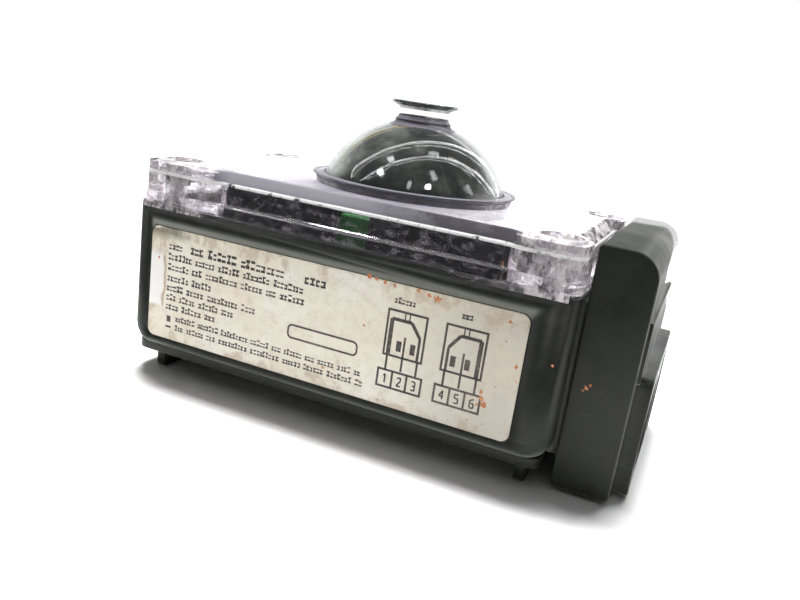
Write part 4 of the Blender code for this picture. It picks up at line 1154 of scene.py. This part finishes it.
def cover():
    """The clear cover with solid corner blocks, dome seat and skirts."""
    body = loft("cover_shell", [cover_loop(*mm(*row)) for row in COVER_ROWS], smooth_angle=32)
    inset = 3.7 * MM
    cavity = slab(
        "cover_cavity", (cover_low.x + inset, cover_low.y + inset, cover_low.z - WALL),
        (cover_high.x - inset, cover_high.y - inset, COVER_TOP - 2.3 * MM), radii=3 * MM, end=1.2 * MM,
    )
    cut(body, cavity)
    blocks = []
    for i, spot in enumerate(SCREW_PLACES):
        left, right = cover_low.x + 0.6 * MM, cover_low.x + 23.6 * MM
        if spot.x > 0:
            left, right = cover_high.x - 16.2 * MM, cover_high.x - 0.6 * MM
        front = cover_low.y + 0.6 * MM if spot.y < 0 else cover_high.y - 13.8 * MM
        low, high = (left, front, cover_low.z + 0.02 * MM), (right, front + 13.2 * MM, COVER_TOP - 0.5 * MM)
        blocks.append(slab("cover_block_%d" % i, low, high, radii=4.2 * MM))
    seat_profile = [
        (0, COVER_TOP - 1 * MM), (25.0 * MM, COVER_TOP - 1 * MM), (25.6 * MM, COVER_TOP + 0.1 * MM),
        (25.9 * MM, SEAT_TOP - 0.7 * MM), (26.6 * MM, SEAT_TOP - 0.25 * MM), (26.5 * MM, SEAT_TOP),
        (0, SEAT_TOP),
    ]
    seat = turned("dome_seat", seat_profile, sides=128)
    join(body, *blocks, seat)
    cutters = [round_bar("dome_hole", 23.8 * MM, (AXIS_X, AXIS_Y), 50 * MM, 60 * MM, sides=128)]
    for i, spot in enumerate(SCREW_PLACES):
        cutters.append(round_bar("screw_hole_%d" % i, 2.9 * MM, spot.xy, 40 * MM, 60 * MM, sides=40))
        cutters.append(round_bar("screw_recess_%d" % i, 4.8 * MM, spot.xy, 50.2 * MM, 60 * MM, sides=48))
    cut(body, *cutters)
    for i, (left, right) in enumerate(SKIRT_ENDS):
        left, right = (cover_low.x + 2 * MM, right) if i == 0 else (left, cover_high.x - 2 * MM)
        for j, y in enumerate((cover_low.y, cover_high.y - 0.55 * MM)):
            low = (left, y, TUB_TOP - SKIRT_DEPTH + 0.15 * MM)
            high = (right, y + 0.55 * MM, cover_low.z + 0.6 * MM)
            join(body, slab("cover_skirt_%d_%d" % (i, j), low, high, axis="X", radii=0.12 * MM))
    body.data.shade_smooth()
    body.data.set_sharp_from_angle(angle=radians(32))
    return place(body, "case", "clear_plastic", CLEAR, "clear_cover")


def cover_screws():
    """Captive slotted screws, each with a helical ridge on its shank."""
    for name, spot in zip(SCREW_NAMES, SCREW_PLACES):
        foot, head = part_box("cover_screw_" + name)[0].z, 52.2 * MM
        profile = [
            mm(0, 55.75), mm(3.2, 55.7), mm(3.9, 55.5), mm(4.3, 55.1), mm(4.4, 54.6),
            (4.4 * MM, head + 0.2 * MM), (4.2 * MM, head), (2.3 * MM, head), (2.1 * MM, head - 0.4 * MM),
            (2.1 * MM, foot + 1 * MM), (1.4 * MM, foot), (0, foot),
        ]
        screw = turned("captive_screw_" + name, profile, centre=spot.xy, sides=48)
        slot = slab("slot", mm(-6, -0.6, 54.1), mm(6, 0.6, 57))
        spin_to(slot, spot.x, spot.y, radians(25 + 40 * SCREW_NAMES.index(name)))
        cut(screw, slot)
        soften(screw, 0.1 * MM, 2, 50)
        place(screw, "case", "zinc_steel", ZINC, "cover_screw_" + name)
        pitch, per_turn = 0.9 * MM, 24
        start, stop = foot + 1.5 * MM, head - 6 * MM
        ridge = (mm(2.0, -0.34), mm(2.42, 0), mm(2.0, 0.34))
        sections = []
        for i in range(round((stop - start) / pitch * per_turn) + 1):
            angle, height = tau * i / per_turn, start + pitch * i / per_turn
            x, y = cos(angle), sin(angle)
            sections.append([(spot.x + r * x, spot.y + r * y, height + rise) for r, rise in ridge])
        place(loft("screw_thread_" + name, sections, smooth_angle=70), "case", "zinc_steel", ZINC)


def o_ring(name, centre, major, minor, height):
    turns = [-tau * i / 14 for i in range(14)]
    profile = [(major + minor * cos(turn), height + minor * sin(turn)) for turn in turns]
    return turned(name, profile, centre=centre, sides=48, smooth_angle=80)


# --- Dome, rotor and rings ---

SPHERE_Z = 49.05 * MM
DOME_RADIUS = 25.2 * MM
DOME_THICKNESS = 1.0 * MM
ROTOR_RADIUS = 23.4 * MM


def arc(radius, low, high, steps):
    """(radius, height) points of a sphere round the shaft, from the high elevation to the low one."""
    return [
        (
            radius * cos(high + (low - high) * i / steps),
            SPHERE_Z + radius * sin(high + (low - high) * i / steps),
        )
        for i in range(steps + 1)
    ]


def elevation(radius, height):
    return acos(sqrt(radius**2 - (height - SPHERE_Z) ** 2) / radius)


def dome():
    """The clear dome with its boss and flange, its gasket and its clamp ring."""
    inner = DOME_RADIUS - DOME_THICKNESS
    boss = 7.1 * MM
    outer_arc = arc(
        DOME_RADIUS, elevation(DOME_RADIUS, SEAT_TOP), acos((boss + 0.6 * MM) / DOME_RADIUS), 28,
    )
    inner_arc = arc(inner, elevation(inner, SEAT_TOP), pi / 2, 28)
    base = SPHERE_Z + sqrt(DOME_RADIUS**2 - boss**2)
    top = dome_high.z
    profile = [
        (0, top - 0.9 * MM), (2 * MM, top - 0.88 * MM), (5 * MM, top - 0.6 * MM),
        (7.2 * MM, top - 0.12 * MM), (7.8 * MM, top), (8.3 * MM, top - 0.08 * MM),
        (8.5 * MM, top - 0.3 * MM), (8.3 * MM, top - 0.65 * MM), (7.4 * MM, top - 1.1 * MM),
        (6.6 * MM, top - 1.45 * MM), (6.2 * MM, top - 1.9 * MM), (6.2 * MM, top - 3.2 * MM),
        (6.5 * MM, top - 4.0 * MM), (boss, top - 4.6 * MM), (boss, base + 0.5 * MM),
        (boss + 0.15 * MM, base + 0.2 * MM),
    ]
    profile += outer_arc
    skirt, bore, flange = outer_arc[-1][0], inner_arc[-1][0], 25.1 * MM
    profile += [
        (skirt, SEAT_TOP - 0.5 * MM), (skirt, 52.5 * MM), (skirt + 0.2 * MM, 52.3 * MM),
        (flange - 0.1 * MM, 52.3 * MM), (flange, 52.1 * MM), (flange, 51.1 * MM),
        (flange - 0.2 * MM, 50.9 * MM), (bore, 50.9 * MM),
    ]
    profile += inner_arc[::-1][:-1] + [(0, SPHERE_Z + inner)]
    place(turned("dome_lens", profile, sides=128), "case", "clear_plastic", DOME_CLEAR, "indicator_dome")
    gasket = turned(
        "dome_gasket_ring", [mm(25.1, 53.4), mm(25.0, 52.65), mm(24.2, 52.65), mm(24.1, 53.4)], sides=96,
    )
    place(gasket, "case", "rubber", RUBBER, "dome_gasket")
    ring = turned(
        "dome_clamp_ring", [mm(25.1, 50.5), mm(25.0, 49.4), mm(22.7, 49.4), mm(22.6, 50.5)], sides=96,
    )
    place(ring, "case", "inner_plastic", INNER_BLACK, "dome_retaining_ring")


def rotor():
    """The black rotor under the dome, with its yellow flag as a thin raised patch."""
    inner = ROTOR_RADIUS - 1.4 * MM
    skirt = sqrt(ROTOR_RADIUS**2 - (SEAT_TOP - SPHERE_Z) ** 2)
    hub = 5.5 * MM
    profile = arc(ROTOR_RADIUS, elevation(ROTOR_RADIUS, SEAT_TOP), pi / 2, 30)
    profile[0] = (0, SPHERE_Z + ROTOR_RADIUS)
    profile += [(skirt, 52.7 * MM), (skirt - 0.2 * MM, 52.5 * MM), (skirt - 1.4 * MM, 52.5 * MM)]
    profile += arc(inner, elevation(inner, SEAT_TOP), acos(hub / inner), 16)[::-1]
    profile += [(hub, 49.7 * MM), (hub - 0.2 * MM, 49.5 * MM), mm(0, 49.5)]
    cap = turned("rotor_cap", profile, sides=128)
    half = 3 * MM
    cut(cap, slab("socket", (AXIS_X - half, -half, 48 * MM), (AXIS_X + half, half, 57 * MM)))
    place(cap, "shaft", "rotor_plastic", ROTOR, "indicator_rotor")
    first, last, low, high = (radians(angle) for angle in (-135, -65, 27, 74))
    columns, rows = 40, 26
    rises = [low + (high - low) * k / rows for k in range(rows + 1)]
    outline = [(23.78 * MM, rise) for rise in rises] + [(23.5 * MM, rise) for rise in reversed(rises)]
    sections = []
    for i in range(columns + 1):
        turn = first + (last - first) * i / columns
        x, y = sin(turn), -cos(turn)
        sections.append(
            [(AXIS_X + r * cos(t) * x, AXIS_Y + r * cos(t) * y, SPHERE_Z + r * sin(t)) for r, t in outline]
        )
    place(loft("flag_patch", sections), "shaft", "yellow_plastic", YELLOW, "indicator_flag")


housing()
entry_thread()
entry_plug()
label()
splashes()
cover()
cover_screws()
for name, spot in zip(SCREW_NAMES, SCREW_PLACES):
    seal = o_ring("captive_seal_" + name, spot.xy, 3.5 * MM, 0.68 * MM, 51.2 * MM)
    place(seal, "case", "rubber", RUBBER, "screw_seal_" + name)
dome()
rotor()

# --- Inner works ---

WIRES = {
    "wire_brown": (0.13, 0.05, 0.02),
    "wire_blue": (0.02, 0.09, 0.42),
    "wire_grey": (0.28, 0.28, 0.28),
    "wire_white": (0.78, 0.77, 0.72),
    "wire_orange": (0.80, 0.24, 0.03),
    "wire_violet": (0.22, 0.07, 0.36),
}
LOOKS = {
    "black_plastic": BLACK,
    "inner_plastic": INNER_BLACK,
    "green_plastic": GREEN,
    "zinc_steel": ZINC,
    "stainless_steel": STAINLESS,
    "brass": BRASS,
    "rubber": RUBBER,
    "cam_red": CAM_RED,
    "cam_green": CAM_GREEN,
    "switch_case": SWITCH_GREY,
    "plunger_red": PLUNGER_RED,
}
for slot, colour in WIRES.items():
    LOOKS[slot] = moulded_plastic(slot, colour, 0.35, dust=0.08, grain=0.3, wear=0.1, shine=0.45)
SLOTS = {subpart["node"]: subpart["material_slot"] for subpart in frame["record"]["subparts"]}
BODIES = {node: body for body, nodes in frame["record"]["behaviour"]["bodies"].items() for node in nodes}


def copied(node, name, smooth_angle=38):
    """A piece with the CAD node's shape, its flat faces made whole again."""
    bm = bmesh.new()
    bm.from_mesh(frame["nodes"][node].data)
    bmesh.ops.remove_doubles(bm, verts=bm.verts, dist=1e-6)
    bmesh.ops.dissolve_limit(bm, angle_limit=radians(1), verts=bm.verts, edges=bm.edges)
    return add_object(name, bm, smooth_angle)


def finished(node, edge=0.2 * MM, driver=None, smooth_angle=38):
    """The CAD node with rounded edges, and a slot or cross for a driver where it is a screw."""
    piece = copied(node, node + "_finished", smooth_angle)
    if driver:
        low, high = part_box(node)
        middle, radius = middle_of(node), (high.x - low.x) / 2
        turns = (0, pi / 2) if driver == "cross" else (0.4 + middle.x * 300,)
        reach = radius * (0.55 if driver == "cross" else 1.3)
        for index, turn in enumerate(turns):
            wide = radius * 0.14
            blade = slab(
                "blade_%d" % index, (-reach, -wide, high.z - radius * 0.42), (reach, wide, high.z + radius),
            )
            cut(piece, spin_to(blade, middle.x, middle.y, turn))
    if edge:
        soften(piece, edge, 2, 42)
    return place(piece, BODIES[node], SLOTS[node], LOOKS[SLOTS[node]], node)


# The pieces finished with each edge radius, in millimetres
EDGES = {
    0.3: ("mounting_bracket", "terminal_carrier", "switch_bracket"),
    0.18: ("terminal_block", "switch_bottom", "switch_top", "switch_spacer", "cover_gasket"),
    0.15: ("shaft_bush", "shaft_seal", "shaft_retaining_ring", "cam_retainer", "drive_shaft"),
    0.25: ("cam_bottom", "cam_top"),
    0.06: ("lever_bottom", "lever_top"),
    0.2: ("plunger_bottom", "plunger_top"),
}


def inner_works():
    """Everything inside, from the CAD's own shapes."""
    for edge, nodes in EDGES.items():
        for node in nodes:
            finished(node, edge * MM)
    for node in SLOTS:
        if node.startswith("terminal_screw"):
            finished(node, 0.08 * MM, "slot")
        elif node.startswith(("carrier_screw", "switch_screw", "switch_bracket_screw", "bracket_screw")):
            finished(node, 0.12 * MM, "cross")
        elif node.startswith("lead_wire"):
            finished(node, 0, smooth_angle=70)
    finished("earth_screw", 0.15 * MM, "cross")
    finished("cam_spring", 0, smooth_angle=70)


inner_works()


# --- Camera, floor and lights ---

# The point that the disc lamps shine at
TARGET = Vector(mm(0, 0, 40))
# The world's strength for light on surfaces, for reflections, through clear parts and behind the object
AMBIENT, ROOM_LIGHT, WALL_LIGHT, THROUGH_LIGHT, BACKDROP_LIGHT = 0.065, 0.10, 1.1, 0.9, 1.05
LAMP_STRING = ((-0.623, 0.642, 0.446), 0.51, 0.165, radians(11), radians(77), 0.012, 130, 20)
# Each row is a window's direction, its half width and half height, and its strength
WINDOWS = (
    ((0.175, 0.157, 0.972), 0.045, 0.08, 3.5),
    ((0.445, -0.260, 0.857), 0.05, 0.10, 3.0),
    ((0.169, -0.681, 0.713), 0.035, 0.09, 3.5),
    ((0.398, 0.366, 0.841), 0.035, 0.09, 3.0),
    ((0.793, 0.274, 0.544), 0.04, 0.09, 3.0),
    ((0.528, 0.519, 0.672), 0.025, 0.09, 3.0),
    ((0.504, 0.689, 0.522), 0.025, 0.09, 2.5),
    ((-0.35, -0.26, 0.90), 0.06, 0.05, 6),
)


def camera():
    """The photograph's viewing angle, which also has a little roll."""
    azimuth, height, roll = radians(21.437), radians(15.221), radians(8.245)
    forward = Vector((-sin(azimuth) * cos(height), cos(azimuth) * cos(height), -sin(height)))
    level = Vector((cos(azimuth), sin(azimuth), 0))
    above = level.cross(forward)
    right = cos(roll) * level + sin(roll) * above
    up = right.cross(forward)
    data = bpy.data.cameras.new("camera")
    data.sensor_width = 36
    data.lens = 33.777
    data.clip_start = 0.01
    view = bpy.data.objects.new("camera", data)
    turn = Matrix((right, up, -forward)).transposed().to_4x4()
    view.matrix_world = Matrix.Translation((0.06878, -0.18439, 0.08014)) @ turn
    bpy.context.scene.collection.objects.link(view)
    bpy.context.scene.camera = view


def floor():
    """A plain pale sheet."""
    bm = bmesh.new()
    bmesh.ops.create_grid(bm, x_segments=8, y_segments=8, size=1)
    for vertex in bm.verts:
        vertex.co = Vector((0.5 * vertex.co.x, 0.17 + 0.31 * vertex.co.y, 0))
    sheet = add_object("floor", bm)
    paint = Paint("floor_paper", 0.9)
    paint.set("Base Color", paint.mix(paint.noise(3, 2), (0.88, 0.88, 0.88), (0.92, 0.92, 0.92)))
    sheet.data.materials.append(paint.material)


def lamp(name, kind, strength, direction, spot=(0, 0, 0)):
    """A lamp that shines along a direction."""
    made = bpy.data.objects.new(name, bpy.data.lights.new(name, kind))
    made.data.energy = strength
    made.location = spot
    made.rotation_euler = Vector(direction).to_track_quat("-Z", "Y").to_euler()
    bpy.context.scene.collection.objects.link(made)
    return made


def sun_light(name, strength, angle, direction):
    """A far lamp that only lights surfaces and isn't seen in them."""
    made = lamp(name, "SUN", strength, direction)
    made.data.angle = radians(angle)
    made.visible_glossy = False
    made.visible_transmission = False


def disc_light(name, azimuth, height, distance, size, power):
    """A round lamp seen only in reflections: azimuth from +Y towards +X, and height above the horizon."""
    azimuth, height = radians(azimuth), radians(height)
    direction = Vector((sin(azimuth) * cos(height), cos(azimuth) * cos(height), sin(height)))
    made = lamp(name, "AREA", power, -direction, TARGET + direction * distance)
    made.data.shape = "DISK"
    made.data.size = size
    made.visible_diffuse = False


class Sky(Nodes):
    """World nodes that work on the ray's direction."""

    def __init__(self, tree):
        super().__init__(tree)
        self.direction = self.node("ShaderNodeTexCoord").outputs["Generated"]

    def along(self, axis):
        inputs = {0: self.direction, 1: axis}
        return self.made("ShaderNodeVectorMath", "Value", inputs, operation="DOT_PRODUCT")

    def window(self, direction, wide, tall, strength):
        """A soft-edged upright panel in this direction, with half its width and height as slopes."""
        ahead = Vector(direction).normalized()
        across = ahead.cross(Vector((0, 0, 1))).normalized()
        above = across.cross(ahead)
        depth = self.along(ahead)
        x, y = abs(self.along(across) / depth), abs(self.along(above) / depth)
        inside = x.ramp(wide * 1.15, wide * 0.85) * y.ramp(tall * 1.1, tall * 0.9)
        return inside * self.math("GREATER_THAN", depth, 0.05) * strength

    def loop_lamp(self, axis, height, half_width, middle, reach, line, beads, strength):
        """A closed loop of small lamps whose two long sides run round an axis, as parallels do.

        height is the loop's place along the axis, and middle and reach are angles round it.
        """
        axis = Vector(axis).normalized()
        side = axis.cross(Vector((0, 0, 1))).normalized()
        turn = self.math("ARCTAN2", self.along(side), self.along(side.cross(axis)))
        past = self.math("MAXIMUM", abs(turn - middle) - reach, 0.0)
        across = self.along(axis) - height
        away = self.math("SQRT", past * past + across * across)
        on_line = abs(away - half_width).ramp(line, line * 0.4)
        bead = self.math("SINE", turn * beads).ramp(-0.6, 0.2)
        return on_line * bead * strength


def world():
    """White behind the object. Reflections see a dim room with a bright wall, windows and lamps."""
    made = bpy.data.worlds.new("studio")
    bpy.context.scene.world = made
    made.use_nodes = True
    sky = Sky(made.node_tree)
    wall = sky.along((0, 0, 1)).ramp(0.55, 0.1) * sky.along((0, 1, 0)).ramp(-0.1, 0.5)
    seen = wall * (WALL_LIGHT - ROOM_LIGHT) + ROOM_LIGHT
    seen = seen + sky.loop_lamp(*LAMP_STRING)
    for window in WINDOWS:
        seen = seen + sky.window(*window)
    path = sky.node("ShaderNodeLightPath")
    strength = AMBIENT
    rays = (
        ("Is Transmission Ray", THROUGH_LIGHT), ("Is Glossy Ray", seen), ("Is Camera Ray", BACKDROP_LIGHT),
    )
    for ray, value in rays:
        strength = sky.made(
            "ShaderNodeMix", "Result", {"Factor": path.outputs[ray], "A": strength, "B": value},
        )
    background = sky.tree.nodes["Background"]
    sky.feed(background.inputs["Color"], (1, 1, 1))
    sky.feed(background.inputs["Strength"], strength)


camera()
floor()
world()
for name, slant in (("key_left", 0.31), ("key", 0.15), ("key_right", -0.01)):
    sun_light(name, 2.6, 14, (slant, -0.23, -1))
sun_light("soft_sky", 0.6, 95, (0.15, -0.25, -1))
disc_light("lamp_left", -140, 48, 0.75, 0.08, 0.5)
disc_light("lamp_right", 137, 46, 0.75, 0.09, 0.7)
bpy.context.scene.view_settings.view_transform = "Standard"
